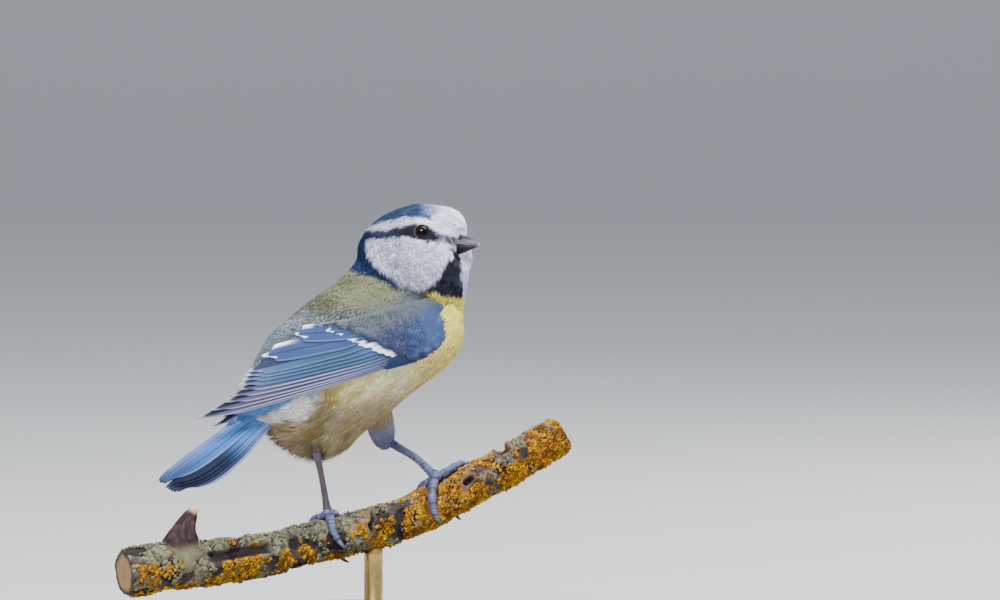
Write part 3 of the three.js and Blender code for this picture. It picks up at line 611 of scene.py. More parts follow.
def wing_point(side, reach, b, q):
    """Places on a wing, where the far wing is a little shorter, lower and flatter."""
    a = reach if side > 0 else reach * FAR_WING_REACH
    b = b if side > 0 else np.where(b > 0, b * FAR_WING_HEIGHT, b)
    x = WING_BEND[0] + a * WING_CHORD[0] + b * WING_RISE[0]
    z = WING_BEND[1] + a * WING_CHORD[1] + b * WING_RISE[1]
    y = NECK_Y + ((x - NECK_X) * math.sin(BODY_YAW) - q) / math.cos(BODY_YAW)
    if side > 0:
        return np.stack([x, y, z], -1)
    forward = (x - NECK_X) * math.cos(BODY_YAW) + (y - NECK_Y) * math.sin(BODY_YAW)
    return in_frame(BODY_YAW, forward, -q, z - a * math.sin(FAR_WING_DROP))


def wing_surface(side):
    """A function that sets places on one wing: a, b and how far above its surface."""
    def place(a, b, out=0.0):
        return wing_point(side, a, b, wing_out(a, b) + out)

    return place


def wing_frame(side, place, a, b, step=0.2):
    """The way to the wing's tip, the way up and the outward normal of place(a, b)."""
    flow = unit(place(a + step, b) - place(a - step, b))
    rise = unit(place(a, b + step) - place(a, b - step))
    normal = unit(np.cross(flow, rise))
    outward = np.array([math.sin(BODY_YAW) * side, -math.cos(BODY_YAW) * side, 0.3])
    return flow, rise, normal * np.sign(np.sum(normal * outward, -1, keepdims=True))


# Root, tip and width of each flight feather, from the outermost primary to the tertials
FLIGHT = [
    ((10, -1.6), (62.5, -0.9), 2.6), ((10.5, -1.2), (67, 0), 3.0),
    ((10.5, -0.8), (63.2, 1.0), 3.2), ((10.5, -0.4), (59.1, 1.9), 3.4),
    ((10.7, 0.2), (57.1, 3.0), 3.4), ((11.5, 1.0), (54.7, 3.9), 3.5),
    ((12.5, 1.8), (54.1, 5.0), 3.6), ((13.8, 2.8), (53.0, 6.0), 3.7),
    ((15.5, 4.0), (51.9, 6.8), 3.9), ((17.5, 5.6), (50.9, 7.6), 4.4),
    ((19.5, 7.2), (46.3, 10.1), 5.0), ((21.5, 9.0), (36.7, 12.8), 4.6),
]
VANE_SHAPE = [0.5, 0.85, 1, 1, 1, 1, 0.95, 0.8, 0.3]
FLIGHT_LIFT = {"first": -1.0, "step": 0.17}
VANE_THICK = 0.12
VANE_TUCK = 0.16
FLIGHT_LOOKS = {
    "primary": {
        "base": rgb(50, 62, 96), "edge": rgb(176, 168, 200), "inner": rgb(24, 26, 44),
        "inner_weight": 0.92, "tip": rgb(206, 198, 218), "tip_weight": 0.45,
    },
    "secondary": {
        "base": rgb(56, 84, 126), "edge": rgb(112, 138, 174), "inner": rgb(38, 44, 70),
        "inner_weight": 0.92, "tip": rgb(206, 198, 218), "tip_weight": 0.8,
    },
    "tertial": {
        "base": rgb(48, 68, 114), "edge": rgb(112, 138, 174), "inner": rgb(38, 44, 70),
        "inner_weight": 0.0, "tip": rgb(250, 246, 255), "tip_weight": 1.0,
    },
}


def grid_faces(columns, rows):
    """Quads of a closed sheet with two faces of the same grid."""
    stride = rows + 1
    layer = (columns + 1) * stride
    i, j = grid(np.arange(columns), np.arange(rows))
    a = i * stride + j
    top = np.stack([a, a + stride, a + stride + 1, a + 1], -1)
    i = np.arange(columns) * stride
    near = np.stack([i, i + layer, i + layer + stride, i + stride], -1)
    i = i + rows
    far = np.stack([i, i + stride, i + stride + layer, i + layer], -1)
    j = np.arange(rows)
    start = np.stack([j, j + 1, j + 1 + layer, j + layer], -1)
    j = j + columns * stride
    end = np.stack([j, j + layer, j + 1 + layer, j + 1], -1)
    return np.concatenate([top, top[:, ::-1] + layer, near, far, start, end])


def sheet(columns, rows):
    """Shares along and across the grid that grid_faces joins."""
    return grid(np.linspace(0, 1, columns + 1), np.linspace(0, 1, rows + 1))


def feather(columns, rows, faces, colours, inside, ticks):
    """One feather's two faces, the inner one painted darker as shade, with places for its barbs."""
    return (
        np.concatenate(faces),
        grid_faces(columns, rows),
        np.concatenate([colours, colours * inside]),
        np.concatenate([ticks, ticks]),
    )


def vane(place, root, tip, width, lift, tint, columns, rows, shape=VANE_SHAPE):
    """One feather: place(a, b, out) sets it on the wing, tint(u, v) gives its colours."""
    u, v = sheet(columns, rows)
    side = 2 * v - 1
    run, rise = tip[0] - root[0], tip[1] - root[1]
    length = math.hypot(run, rise)
    across = side * 0.5 * width
    rounded = 1 - 0.35 * (np.abs(side) ** 2.2) * smooth(0.86, 1.0, u) * (width / length) * 2
    out = across * along(shape, u)
    a = root[0] + run * u * rounded - (rise / length) * out
    b = root[1] + rise * u * rounded + (run / length) * out
    shaft = 0.06 * np.exp(-(side / 0.09) ** 2)
    camber = 0.10 * (1 - side ** 2)
    level = lift - VANE_TUCK * side
    faces = [place(a, b, level + camber + shaft), place(a, b, level - VANE_THICK)]
    ticks = np.stack([u * length, across], -1)
    return feather(columns, rows, faces, tint(u, v), 0.75, ticks)


def flight_tint(k, seed):
    """Colours of a flight feather: blue outer web, pale edge, dark shaft and inner web."""
    kind = "primary" if k < 6 else "tertial" if k > 9 else "secondary"
    look = FLIGHT_LOOKS[kind]
    base = look["base"]

    def tint(u, v):
        wave = 0.5 + 0.5 * np.sin(u * 9 + seed)
        colour = mix(base * 0.9, base * 1.2, wave)
        dark = smooth(0.34, 0.46, v) * smooth(0.25, 0.5, v)
        tip = smooth(0.95, 0.985, u)
        strength = 0.4
        if kind == "primary":
            colour = layers(
                colour,
                (rgb(66, 92, 138), smooth(0.55, 0.2, u) * 0.7),
                (rgb(104, 98, 130), smooth(0.55, 0.9, u) * 0.5),
            )
            strength = 0.35 + 0.6 * smooth(0.15, 0.5, u)
            dark = smooth(0.34, 0.46, v)
        elif kind == "secondary":
            green = smooth(0.12, 0.3, u) * smooth(0.8, 0.5, u)
            colour = layers(
                colour,
                (rgb(44, 76, 94), green * 0.75),
                (rgb(96, 102, 138), smooth(0.7, 0.95, u) * 0.6),
            )
        else:
            colour = mix(colour, rgb(46, 66, 108), smooth(0.5, 0.2, v) * 0.7)
            white = smooth(0.76, 0.9, v) * smooth(0.6, 0.85, u)
            tip = np.maximum(white, smooth(0.93, 0.985, u))
        return layers(
            colour,
            (look["edge"], smooth(0.14, 0.05, v) * strength),
            (look["inner"], dark * look["inner_weight"]),
            (SHAFT_DARK, smooth(0.05, 0.0, np.abs(v - 0.5)) * 0.7),
            (look["tip"], tip * look["tip_weight"]),
        )

    return tint


def covert_tint(base, tip_colour, tip_share, seed):
    """Colours of a covert: dark inner web and shaft, and often a pale tip."""
    def tint(u, v):
        wave = 0.5 + 0.5 * np.sin(u * 7 + v * 5 + seed)
        ragged = u + 0.03 * np.sin(v * 40 + seed)
        return layers(
            mix(base * 0.85, base * 1.12, wave),
            (base * 1.35, smooth(0.2, 0.06, v) * 0.5),
            (rgb(34, 46, 80), smooth(0.62, 0.85, v) * 0.75),
            (base * 0.5, smooth(0.05, 0.0, np.abs(v - 0.5)) * 0.5),
            (tip_colour, smooth(1 - tip_share, 1 - 0.5 * tip_share, ragged)),
        )

    return tint


COVERT_SHAPE = [0.5, 0.8, 0.95, 1, 1, 1, 0.95, 0.8, 0.4]
# Greater coverts, whose white tips make the bar, and the small feathers of the wing's edge
COVERT_ROWS = [
    {"count": 11, "low": (15.0, -0.6), "high": (28.6, 11.2), "back": 10, "width": 2.9,
     "lift": 0.5, "base": rgb(46, 64, 108), "tip": rgb(244, 244, 255), "white": 0.4,
     "vary": (0.4, 0.7, 1.15, 1.45, 1.2, 1.3, 0.85, 0.7, 0.6, 0.5, 0.3)},
    {"count": 4, "low": (18.4, -2.3), "high": (16.8, -0.6), "back": 12, "width": 1.6,
     "lift": 0.55, "base": rgb(38, 50, 84), "tip": rgb(96, 104, 140), "white": 0.06,
     "vary": (1, 1, 1, 1)},
]


def wing(side):
    """Flight feathers and greater coverts of one wing, as one mesh."""
    place = wing_surface(side)
    parts = []
    for k, (root, tip, width) in enumerate(FLIGHT):
        lift = FLIGHT_LIFT["first"] + k * FLIGHT_LIFT["step"]
        parts.append(vane(place, root, tip, width, lift, flight_tint(k, k * 1.7), 44, 16))
    for row in COVERT_ROWS:
        low, high = row["low"], row["high"]
        for k in range(row["count"]):
            share = k / (row["count"] - 1)
            a = low[0] + (high[0] - low[0]) * share
            b = low[1] + (high[1] - low[1]) * share
            root = (a - row["back"], b - 0.6 + 0.5 * share)
            tip = (a + 0.35 * math.sin(2.6 * k + 1), b)
            tint = covert_tint(row["base"], row["tip"], row["white"] * row["vary"][k], k * 2.1)
            lift = row["lift"] + 0.04 * k
            parts.append(vane(place, root, tip, row["width"], lift, tint, 20, 10, COVERT_SHAPE))
    points, faces, colours, ticks = join(parts)
    name = SIDE_NAME[side]
    obj = new_mesh(f"wing_feathers_{name}", points, faces, colours, ticks)
    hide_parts(f"wing_{name}")
    return obj


# Tail
TAIL_ROOT = {"forward": -29.6, "z": 68.0}
TAIL_PITCH = math.radians(33.2)
TAIL_ROLL = math.radians(33)
TAIL_LENGTH = 46.2
TAIL_HALF = [3.0, 3.4, 4.3, 5.3, 5.5, 4.0]
TAIL_DRIFT = [0, 0.2, 0.9, 1.6, 1.6, 0.6]
TAIL_VANE = 4.2
TAIL_STEP = 0.24
TAIL_ENDS = [0.4, 0, 0.2, 0.5, 1.0, 1.9]
TAIL_SHAPE = [0.5, 0.75, 0.95, 1, 1, 0.9, 0.28]


def tail_point(place, across, out):
    """Points on the tail, by how far from its root, how far across and how far out."""
    way = np.array([
        -math.cos(BODY_YAW) * math.cos(TAIL_PITCH),
        -math.sin(BODY_YAW) * math.cos(TAIL_PITCH),
        -math.sin(TAIL_PITCH),
    ])
    right = np.array([math.sin(BODY_YAW), -math.cos(BODY_YAW), 0.0])
    up = np.cross(right, way)
    up = up / np.linalg.norm(up) * (1 if up[2] > 0 else -1)
    wide = right * math.cos(TAIL_ROLL) - up * math.sin(TAIL_ROLL)
    normal = up * math.cos(TAIL_ROLL) + right * math.sin(TAIL_ROLL)
    root = in_frame(BODY_YAW, TAIL_ROOT["forward"], 0, TAIL_ROOT["z"])
    return (
        root + place[..., None] * way + across[..., None] * wide + out[..., None] * normal
    )


# How far each pair stands from the middle: close together on the left, spread on the right
TAIL_FAN = {-1: [0.05, 0.3, 0.5, 0.68, 0.84, 1.0], 1: [0.1, 0.42, 0.6, 0.76, 0.9, 1.0]}


def tail_feather(pair, side):
    """One tail feather, counted from the middle pair out."""
    columns, rows = 48, 16
    u, v = sheet(columns, rows)
    half_way = 2 * v - 1
    shape = along(TAIL_SHAPE, u)
    half = np.maximum(0.4, along(TAIL_HALF, u) - TAIL_VANE / 2 * shape * 0.8)
    middle = side * TAIL_FAN[side][pair] * half + along(TAIL_DRIFT, u)
    vane_width = TAIL_VANE * (0.86 if pair == 0 else 1)
    local = half_way * 0.5 * vane_width
    across = middle + local * shape
    rounding = 1.8 * np.abs(half_way) ** 2.4 * smooth(0.88, 1.0, u)
    place = u * (TAIL_LENGTH - TAIL_ENDS[pair]) - rounding
    out = -0.045 * across ** 2 - TAIL_STEP * pair + 0.06 * side + 0.12 * side * half_way
    shaft = 0.09 * np.exp(-(half_way / 0.08) ** 2)
    faces = [
        tail_point(place, across, out + 0.22 + shaft),
        tail_point(place, across, out - 0.02 - shaft * 0.5),
    ]
    edge = v if side < 0 else 1 - v
    streak = 0.5 + 0.5 * np.sin(v * 21 + pair * 2 + u * 3)
    dusky = 0.8 if side > 0 and pair > 3 else 0.0
    # dark inner webs, partly their own colour and partly painted shade: on the near side's outer
    # pairs the near-black spreads over the feather's outer half as the shade below the tail
    web = smooth(0.5, 0.68, edge)
    if side > 0 and pair > 0:
        web = np.maximum(web, smooth(0.46, 0.66, u) * (0.95 if pair < 4 else 0.55))
    if pair == 0:
        web = smooth(0.8, 0.97, edge) * 0.25
    rim = smooth(0.13, 0.04, edge) * (0.7 if pair == 5 else 0.35)
    if side > 0 and 0 < pair < 5:
        rim = rim * smooth(0.6, 0.4, u)
    colour = layers(
        mix(rgb(42, 98, 172), rgb(84, 142, 214), streak * 0.8),
        (rgb(52, 84, 134), smooth(0.3, 0.6, u) * 0.6),
        (rgb(34, 52, 92), smooth(0.6, 0.95, u) * 0.85),
        (rgb(58, 64, 100), smooth(0.2, 0.5, u) * dusky),
        (rgb(7, 12, 28), web * 0.97),
        (rgb(150, 156, 196), rim),
        (rgb(24, 34, 66), smooth(0.05, 0.0, np.abs(v - 0.5)) * 0.8),
        (rgb(66, 76, 98), smooth(0.965, 1.0, u) * 0.7),
    )
    ticks = np.stack([u * TAIL_LENGTH, local], -1)
    return feather(columns, rows, faces, colour, 0.5, ticks)


def tail():
    """The six pairs of tail feathers, as one mesh."""
    parts = [tail_feather(pair, side) for pair in range(6) for side in (-1, 1)]
    obj = new_mesh("tail_feathers", *join(parts))
    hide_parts("tail")
    return obj


def tail_coverts():
    """Soft coverts that close over the root of the tail, pale below and blue-grey above."""
    s, t = sequence(5200, 77)
    place = 7.0 + 12.0 * s
    turn = 2 * math.pi * t
    wide = 3.9 + 0.02 * (place - 7)
    thick = 2.3 - 0.11 * (place - 7)
    across = 0.3 + wide * np.sin(turn)
    middle = -0.4 - 0.045 * across ** 2 - 0.6
    at = tail_point(place, across, middle + thick * np.cos(turn))
    way = unit(tail_point(place + 1, across, middle) - tail_point(place, across, middle))
    out = at - tail_point(place, across * 0, middle)
    out = unit(out - way * np.sum(out * way, -1, keepdims=True))
    way = unit(way + rng.normal(0, 0.06, at.shape))
    below = smooth(0.2, -0.4, np.cos(turn) - 0.35 * np.sin(turn))
    tint = layers(
        mix(RUMP_BLUE, rgb(124, 178, 238), 0.5 + 0.5 * noise(at, 0.8, 79)),
        (rgb(246, 242, 236), below),
        (rgb(176, 156, 132), below * smooth(-0.2, -0.9, np.cos(turn)) * 0.7),
    )
    tint = mottled(tint, 1 + 0.1 * noise(at, 1.0, 78), 0.06)
    size = rng.uniform(2.6, 4.6, len(at))
    widths = rng.uniform(0.24, 0.36, len(at))
    places = np.stack([0.3 + 0.02 * place, t * 0.9 + 0.05], -1)
    lift = np.full(len(at), 0.05)
    return coat_pieces(
        "coat_tail", at, way, out, size, widths, tint, places, lift, lift,
    )


# Branch
BRANCH = np.array([
    (-56.5, 20.8, 5.7), (-46, 22.0, 5.9), (-36, 22.6, 5.6), (-25.6, 23.6, 5.2), (-15, 25.2, 4.9),
    (-6.4, 27.2, 4.9), (3, 29.2, 5.0), (12.8, 31.7, 4.9), (20.5, 34.6, 4.9), (29, 39.0, 4.9),
    (38.5, 43.9, 4.8), (46, 47.8, 4.7), (54, 52.0, 4.6),
])
BRANCH_SLANT = 0.467
BRANCH_RUN = 115


def branch_y(x):
    """How far back the branch's middle line lies at x."""
    return -9.0 + (x + 6.4) * BRANCH_SLANT


def curve(points, share):
    """A centripetal Catmull-Rom curve through points."""
    points = np.asarray(points, dtype=float)
    first = 2 * points[0] - points[1]
    last = 2 * points[-1] - points[-2]
    line = np.vstack([first, points, last])
    place = np.clip(share, 0, 1) * (len(points) - 1)
    i = np.minimum(np.floor(place).astype(int), len(points) - 2)
    t = (place - i)[..., None]
    p0, p1, p2, p3 = (line[i + k] for k in range(4))
    d0, d1, d2 = (
        np.sqrt(np.linalg.norm(q - p, axis=-1, keepdims=True))
        for p, q in ((p0, p1), (p1, p2), (p2, p3))
    )
    m1 = ((p1 - p0) / d0 - (p2 - p0) / (d0 + d1) + (p2 - p1) / d1) * d1
    m2 = ((p2 - p1) / d1 - (p3 - p1) / (d1 + d2) + (p3 - p2) / d2) * d1
    return (
        p1 + m1 * t + (-3 * p1 + 3 * p2 - 2 * m1 - m2) * t ** 2
        + (2 * p1 - 2 * p2 + m1 + m2) * t ** 3
    )


BRANCH_LINE = np.stack([BRANCH[:, 0], branch_y(BRANCH[:, 0]), BRANCH[:, 1]], -1)


def branch_axes(share):
    """Along the branch, up from it, and out toward the viewer."""
    step = 1e-3
    tangent = unit(curve(BRANCH_LINE, share + step) - curve(BRANCH_LINE, share - step))
    up = unit(np.array([0, 0, 1.0]) - tangent * tangent[..., 2:3])
    return tangent, up, unit(np.cross(tangent, up))


def on_branch(x, degrees, height):
    """A place on the branch by x, the angle from the top to the viewer's side, and height."""
    share = np.array([0.5])
    for _ in range(30):
        share = share + (x - curve(BRANCH_LINE, share)[:, 0]) / BRANCH_RUN
    _, up, near = branch_axes(share)
    angle = math.radians(degrees)
    reach = along(BRANCH[:, 2], share) + height
    at = curve(BRANCH_LINE, share) + (up * math.cos(angle) + near * math.sin(angle)) * reach
    return at[0]


def branch_surface(share, angle):
    """Points of the bare branch with the same knobs as its solid."""
    _, up, near = branch_axes(share)
    knobs = (
        0.22 * np.sin(3 * angle + 21 * share)
        + 0.18 * np.sin(5 * angle - 47 * share + 1)
        + 0.16 * np.sin(61 * share + 2 * angle)
    )
    reach = along(BRANCH[:, 2], share) + knobs
    way = up * np.cos(angle)[..., None] + near * np.sin(angle)[..., None]
    return curve(BRANCH_LINE, share) + way * reach[..., None], way


BARK = rgb(74, 63, 62)
BARK_DARK = rgb(34, 26, 28)
LICHEN_RUST = rgb(112, 66, 8)
LICHEN_GOLD = rgb(180, 124, 2)
LICHEN_LEMON = rgb(192, 160, 16)
LICHEN_GREY = rgb(122, 122, 96)
LICHEN_TRIES = 11000
LOBE_SIDES = 5

# The broken twig: x, how far in front of the branch's middle line, z, and its radii
SNAG_LINE = [(-42.5, -1, 23), (-41.6, -1.6, 30.4), (-38.6, -1.4, 36.6)]
SNAG_RADII = [5.6, 5.0, 3.6, 1.9, 0.5]


def lichen_cover(at):
    """How much gold and how much grey-green lichen grows at places on the branch."""
    patch = noise(at, 4.5, 21) + 0.6 * noise(at, 2.0, 22) + 0.3 * noise(at, 1.0, 25)
    middle = np.interp(at[:, 0], BRANCH[:, 0], BRANCH[:, 1])
    top = smooth(0.5, 4.5, at[:, 2] - middle)
    more = 0.35 * smooth(-20, 30, at[:, 0]) + 0.15 * smooth(-40, -52, at[:, 0])
    gold = smooth(0.0, 0.35, patch + more + 0.16 - 0.7 * top * smooth(24, 14, at[:, 0]))
    grey = smooth(-0.2, 0.25, noise(at, 3.6, 23) + 0.5 * noise(at, 1.5, 24) + 0.55 * top - 0.3)
    return gold, grey * (1 - gold * 0.7)


# Cracks and knots of the bark: x, turn toward the viewer, length, width and slant
SCARS = [(4.2, 62, 3.6, 0.75, 1.45), (29.5, 60, 1.9, 1.2, 0.9), (40.2, 22, 2.2, 1.4, 0.2)]
SPLIT = {"x": -29.2, "degrees": 66, "way": (1, BRANCH_SLANT, 0.16)}


def scar_depth(at):
    """Depth and rim of the cracks and knots."""
    deep = np.zeros(len(at))
    rim = np.zeros(len(at))
    for x, degrees, length, width, slant in SCARS:
        away = at - on_branch(x, degrees, 0.0)
        run = away @ (math.cos(slant), 0, math.sin(slant)) / length
        aside = away @ (-math.sin(slant), 0, math.cos(slant))
        oval = np.hypot(run, (aside + 0.25 * np.sin(away[:, 2] * 2)) / width)
        near = smooth(7, 5, norm(away))
        deep = np.maximum(deep, smooth(1.0, 0.6, oval) * near)
        rim = np.maximum(rim, smooth(0.7, 1.0, oval) * smooth(1.6, 1.15, oval) * near)
    return deep, rim


def split_depth(at):
    """The long split where the bark has fallen away."""
    way = unit(np.array(SPLIT["way"]))
    away = at - on_branch(SPLIT["x"], SPLIT["degrees"], 0.0)
    run = away @ way
    aside = norm(away - run[:, None] * way)
    return smooth(10, 7.5, np.abs(run)) * smooth(2.0, 1.1, aside)


def toe_distance(at):
    """How far each place is from the nearest toe, up to 9 mm."""
    nearest = np.full(len(at), 9.0)
    for p in TOE_POINTS:
        nearest = np.minimum(nearest, norm(at - p))
    return nearest


def bark_relief(at):
    """How far the bark stands out, with what its colours need."""
    gold, grey = lichen_cover(at)
    stretched = at * np.array([0.35, 1, 1])
    ridges = noise(stretched, 0.8, 31) * 0.16 + noise(stretched, 2.0, 32) * 0.2
    crust = np.maximum(gold, grey * 0.7)
    lumps = crust * (0.22 + 0.24 * noise(at, 0.8, 33) + 0.16 * noise(at, 0.4, 34))
    crack = smooth(0.72, 0.9, np.abs(noise(at * np.array([1, 0.5, 0.5]), 3.0, 35)) * 1.9) * 0.5
    deep, rim = scar_depth(at)
    hollow = np.maximum(split_depth(at), deep)
    lumps = lumps * (1 - hollow) + 0.45 * rim
    out = ridges * (1 - crust * 0.5) + lumps - crack - hollow * 1.5
    # the bark gives way under the toes
    under_feet = smooth(2.2, 1.2, toe_distance(at))
    out = np.where(under_feet > 0, np.minimum(out, 0.2 - 0.5 * under_feet), out)
    return out, {
        "gold": gold, "grey": grey, "ridges": ridges, "crack": crack, "hollow": hollow, "rim": rim,
    }


def branch():
    """The branch with bark, lichen and two sawn ends."""
    columns, rows = 620, 150
    at, way = branch_surface(*grid(np.linspace(0, 1, columns), full_turn(rows)))
    out, look = bark_relief(at)
    fine = noise(at, 0.35, 36)
    yellow = mix(LICHEN_RUST, LICHEN_GOLD, smooth(-0.5, 0.4, noise(at, 2.2, 37)))
    colour = layers(
        mix(BARK, BARK_DARK, np.clip(0.5 - look["ridges"] * 2.2, 0, 1)),
        (LICHEN_GREY * (0.85 + 0.2 * fine[:, None]), look["grey"] * 0.9),
        (yellow * (0.7 + 0.25 * fine[:, None]), look["gold"] * 0.8),
        # painted shade in the cracks
        (BARK_DARK * 0.7, np.clip(look["crack"] * 1.6, 0, 1)),
        (rgb(88, 78, 74), look["rim"] * 0.7),
        # painted shade: the hollows of the split and the knots are near black
        (rgb(34, 24, 28), look["hollow"]),
    )
    points = at + way * out[:, None]
    sets, tints, faces = [points], [colour], [ring_faces(columns, rows)]
    start = len(points)
    for row in (0, columns - 1):
        ring = points[row * rows:(row + 1) * rows]
        middle = ring.mean(0)
        before = np.arange(row * rows, (row + 1) * rows)
        for k, size in enumerate((0.92, 0.7, 0.45, 0.2, 0.02)):
            sets.append(middle + (ring - middle) * size)
            wood = mix(rgb(150, 120, 82), rgb(116, 88, 58), np.full(rows, 0.2 * (k % 2) + 0.1 * k))
            tints.append(wood if k else np.repeat(BARK_DARK[None] * 1.2, rows, 0))
            now = start + np.arange(rows)
            quads = np.stack([before, np.roll(before, -1), np.roll(now, -1), now], -1)
            faces.append(quads if row else quads[:, ::-1])
            before = now
            start += rows
    return new_mesh("branch", *(np.concatenate(parts) for parts in (sets, faces, tints)))


def tube(points, radii, rings, sides, bump=None):
    """A round rod with rounded ends, as points, quads and each point's share of its length."""
    dense = curve(points, np.linspace(0, 1, 400))
    steps = np.concatenate([[0], np.cumsum(norm(np.diff(dense, axis=0)))])
    share = np.linspace(0, 1, rings)
    centre = np.stack([np.interp(share * steps[-1], steps, dense[:, k]) for k in range(3)], -1)
    tangent = unit(np.gradient(centre, axis=0))
    radius = along(radii, share)
    across = np.array([0.31, -0.83, 0.47])
    angle = full_turn(sides)
    # each ring: its number, how far past its end and how wide it is, as shares of the radius
    heads = [(0, -0.75, 0.35), (0, -0.5, 0.78)]
    heads += [(i, 0.0, 1.0) for i in range(rings)]
    heads += [(rings - 1, 0.5, 0.78), (rings - 1, 0.75, 0.35)]
    made = []
    for i, shift, size in heads:
        across = across - tangent[i] * (across @ tangent[i])
        across = across / np.linalg.norm(across)
        side = np.cross(tangent[i], across)
        way = np.cos(angle)[:, None] * across + np.sin(angle)[:, None] * side
        reach = np.full(sides, radius[i] * size)
        if bump is not None and size == 1.0:
            reach = reach + bump(i / (rings - 1), angle, steps[-1])
        made.append(centre[i] + tangent[i] * shift * radius[i] + way * reach[:, None])
    made, faces = closed_rings(np.array(made))
    shares = np.repeat([i / (rings - 1) for i, _, _ in heads], sides)
    return made, faces, np.concatenate([shares, [0, 1]])


# Legs, as in the solids
KNUCKLE = 1.55
TOE_RADII = [1.15, 1.1, 1.0, 0.95, 0.8]
CLAW_RADII = [0.62, 0.5, 0.36, 0.16]
PAD_RADII = [1.2, 1.55, 1.35]
TARSUS_RADII = {
    "right": [1.4, 1.0, 0.78, 0.78, 0.85, 1.2],
    "left": [1.3, 1.1, 0.98, 0.95, 1.05, 1.25],
}
LEG_WARMTH = {"right": 0.8, "left": 0.12}
LEG_BLUE = rgb(88, 97, 138)
LEG_DARK = rgb(44, 45, 66)
CLAW_PALE = rgb(98, 102, 132)
CLAW_DARK = rgb(30, 29, 36)
LEGS = {
    "right": {
        "thigh": (-8.9, -10.4, 53.4),
        "tarsus": [(-8.9, -10.4, 52.2), (-8.3, -10.4, 49.4), (-7.1, -9.9, 43.5)],
        "knuckle": (-4.7, 6),
        "toes": [
            ([(-4.5, 6), (-5.3, 34), (-6.0, 66), (-5.6, 84)],
             [(-5.4, 89, 1.2), (-4.4, 106, 1.6), (-3.2, 121, 0.9)]),
            ([(-5.0, -4), (-6.8, -40), (-8.2, -84), (-8.8, -118)],
             [(-8.9, -124, 1.1), (-9.0, -142, 1.3), (-9, -154, 0.4)]),
            ([(-4.6, -6), (-4.2, -48), (-3.6, -100), (-2.8, -142)],
             [(-2.6, -149, 1.1), (-2.0, -168, 1.6), (-1.6, -184, 2.1)]),
            ([(-4.2, -3), (-1.6, -32), (0.6, -70), (2.0, -104)],
             [(2.3, -110, 1.1), (3.0, -128, 1.3), (3.4, -140, 0.4)]),
        ],
    },
    "left": {
        "thigh": (8.1, 10.6, 53.0),
        "tarsus": [(8.6, 10.8, 52.2), (11.0, 9.9, 50.4), (16.8, 7.4, 47.0)],
        "knuckle": (24.3, 4),
        "toes": [
            ([(23.8, 6), (21.4, 36), (19.4, 70), (19.0, 94)],
             [(19.0, 99, 1.2), (19.3, 116, 1.5), (20.2, 126, 1.2)]),
            ([(23.6, -5), (21.4, -44), (19.6, -88), (18.6, -120)],
             [(18.5, -126, 1.1), (18.2, -144, 1.3), (18.1, -156, 0.4)]),
            ([(24.2, -6), (24.8, -46), (25.4, -96), (25.8, -136)],
             [(25.9, -143, 1.1), (25.8, -162, 1.6), (25.6, -180, 1.8)]),
            ([(24.6, -2), (27.0, -4), (29.4, -10), (31.8, -24)],
             [(32.4, -29, 1.1), (33.6, -42, 1.3), (34.4, -54, 0.4)]),
        ],
    },
}


def toe_path(toe):
    """The line along the middle of a toe."""
    return np.array([on_branch(x, degrees, GAP + 0.95) for x, degrees in toe[0]])


TOE_POINTS = np.concatenate([
    curve(toe_path(toe), np.linspace(0, 1, 12))
    for shape in LEGS.values()
    for toe in shape["toes"]
])


def scutes(share, angle, length, pitch=1.15, depth=0.09):
    """Overlapping scales that ring a leg or toe, strongest on its front."""
    place = (share * length / pitch) % 1.0
    front = 0.5 + 0.5 * np.cos(angle - 1.2)
    return depth * (place ** 2 - 0.6 * (place < 0.12)) * (0.4 + 0.6 * front)


def toe_scutes(share, angle, length):
    """A toe's scales, over the swellings of its joints."""
    return scutes(share, angle, length, 0.95, 0.1) + 0.09 * np.cos(share * 2 * math.pi * 3)


def leg_stretch(path, radii, rings, sides, bump=None, warm=0.0):
    """Points, faces and colours of a stretch of leg, blue-grey or warmer and browner."""
    points, faces, share = tube(path, radii, rings, sides, bump)
    shade = 0.35 + 0.4 * noise(points, 1.1, 41) + 0.35 * noise(points, 0.35, 42)
    bands = 14 if warm else 9
    folds = smooth(0.55, 0.95, 0.5 + 0.5 * np.cos(share * 2 * math.pi * bands))
    folds = folds * (0.35 + 0.4 * noise(points, 2.0, 43)) * (0.4 if warm else 1.0)
    colour = mix(LEG_BLUE, LEG_DARK, np.clip(shade + folds + 0.5 * warm, 0, 1))
    brown = rgb(70, 58, 60) * (1 - 0.3 * shade[:, None])
    return points, faces, mix(colour, brown, np.full(len(points), warm))


def leg(name, shape):
    """One leg from the thigh down, and its four claws."""
    ankle = on_branch(*shape["knuckle"], KNUCKLE + GAP)
    path = np.array([*shape["tarsus"], ankle])
    parts = [leg_stretch(path, TARSUS_RADII[name], 110, 24, scutes, LEG_WARMTH[name])]
    claws = []
    for toe in shape["toes"]:
        line = toe_path(toe)
        line = np.vstack([ankle + (line[0] - ankle) * 0.2, line])
        parts.append(leg_stretch(line, TOE_RADII, 64, 20, toe_scutes))
        path = np.array([on_branch(*place) for place in toe[1]])
        points, faces, share = tube(path, CLAW_RADII, 28, 14)
        claws.append((points, faces, mix(CLAW_PALE, CLAW_DARK, smooth(0.1, 0.9, share))))
    pad = np.array([ankle + (0, 0, 0.9), ankle + (0, 0, -0.7)])
    parts.append(leg_stretch(pad, PAD_RADII, 24, 24))
    obj = new_mesh(f"leg_{name}", *join(parts))
    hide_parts(f"tarsus_{name}", f"foot_{name}")
    nails = new_mesh(f"claws_{name}", *join(claws))
    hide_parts(*[f"claw_{name}_{k}" for k in (1, 2, 3, 4)])
    return obj, nails


# The bill's half width and heights, from its root to its tip
BILL_WIDTH = [2.1, 2.05, 1.9, 1.55, 1.0, 0.25]
UPPER_HEIGHT = [2.9, 2.85, 2.65, 2.15, 1.4, 0.4]
LOWER_HEIGHT = [3.3, 3.2, 2.8, 2.1, 1.2, 0.25]


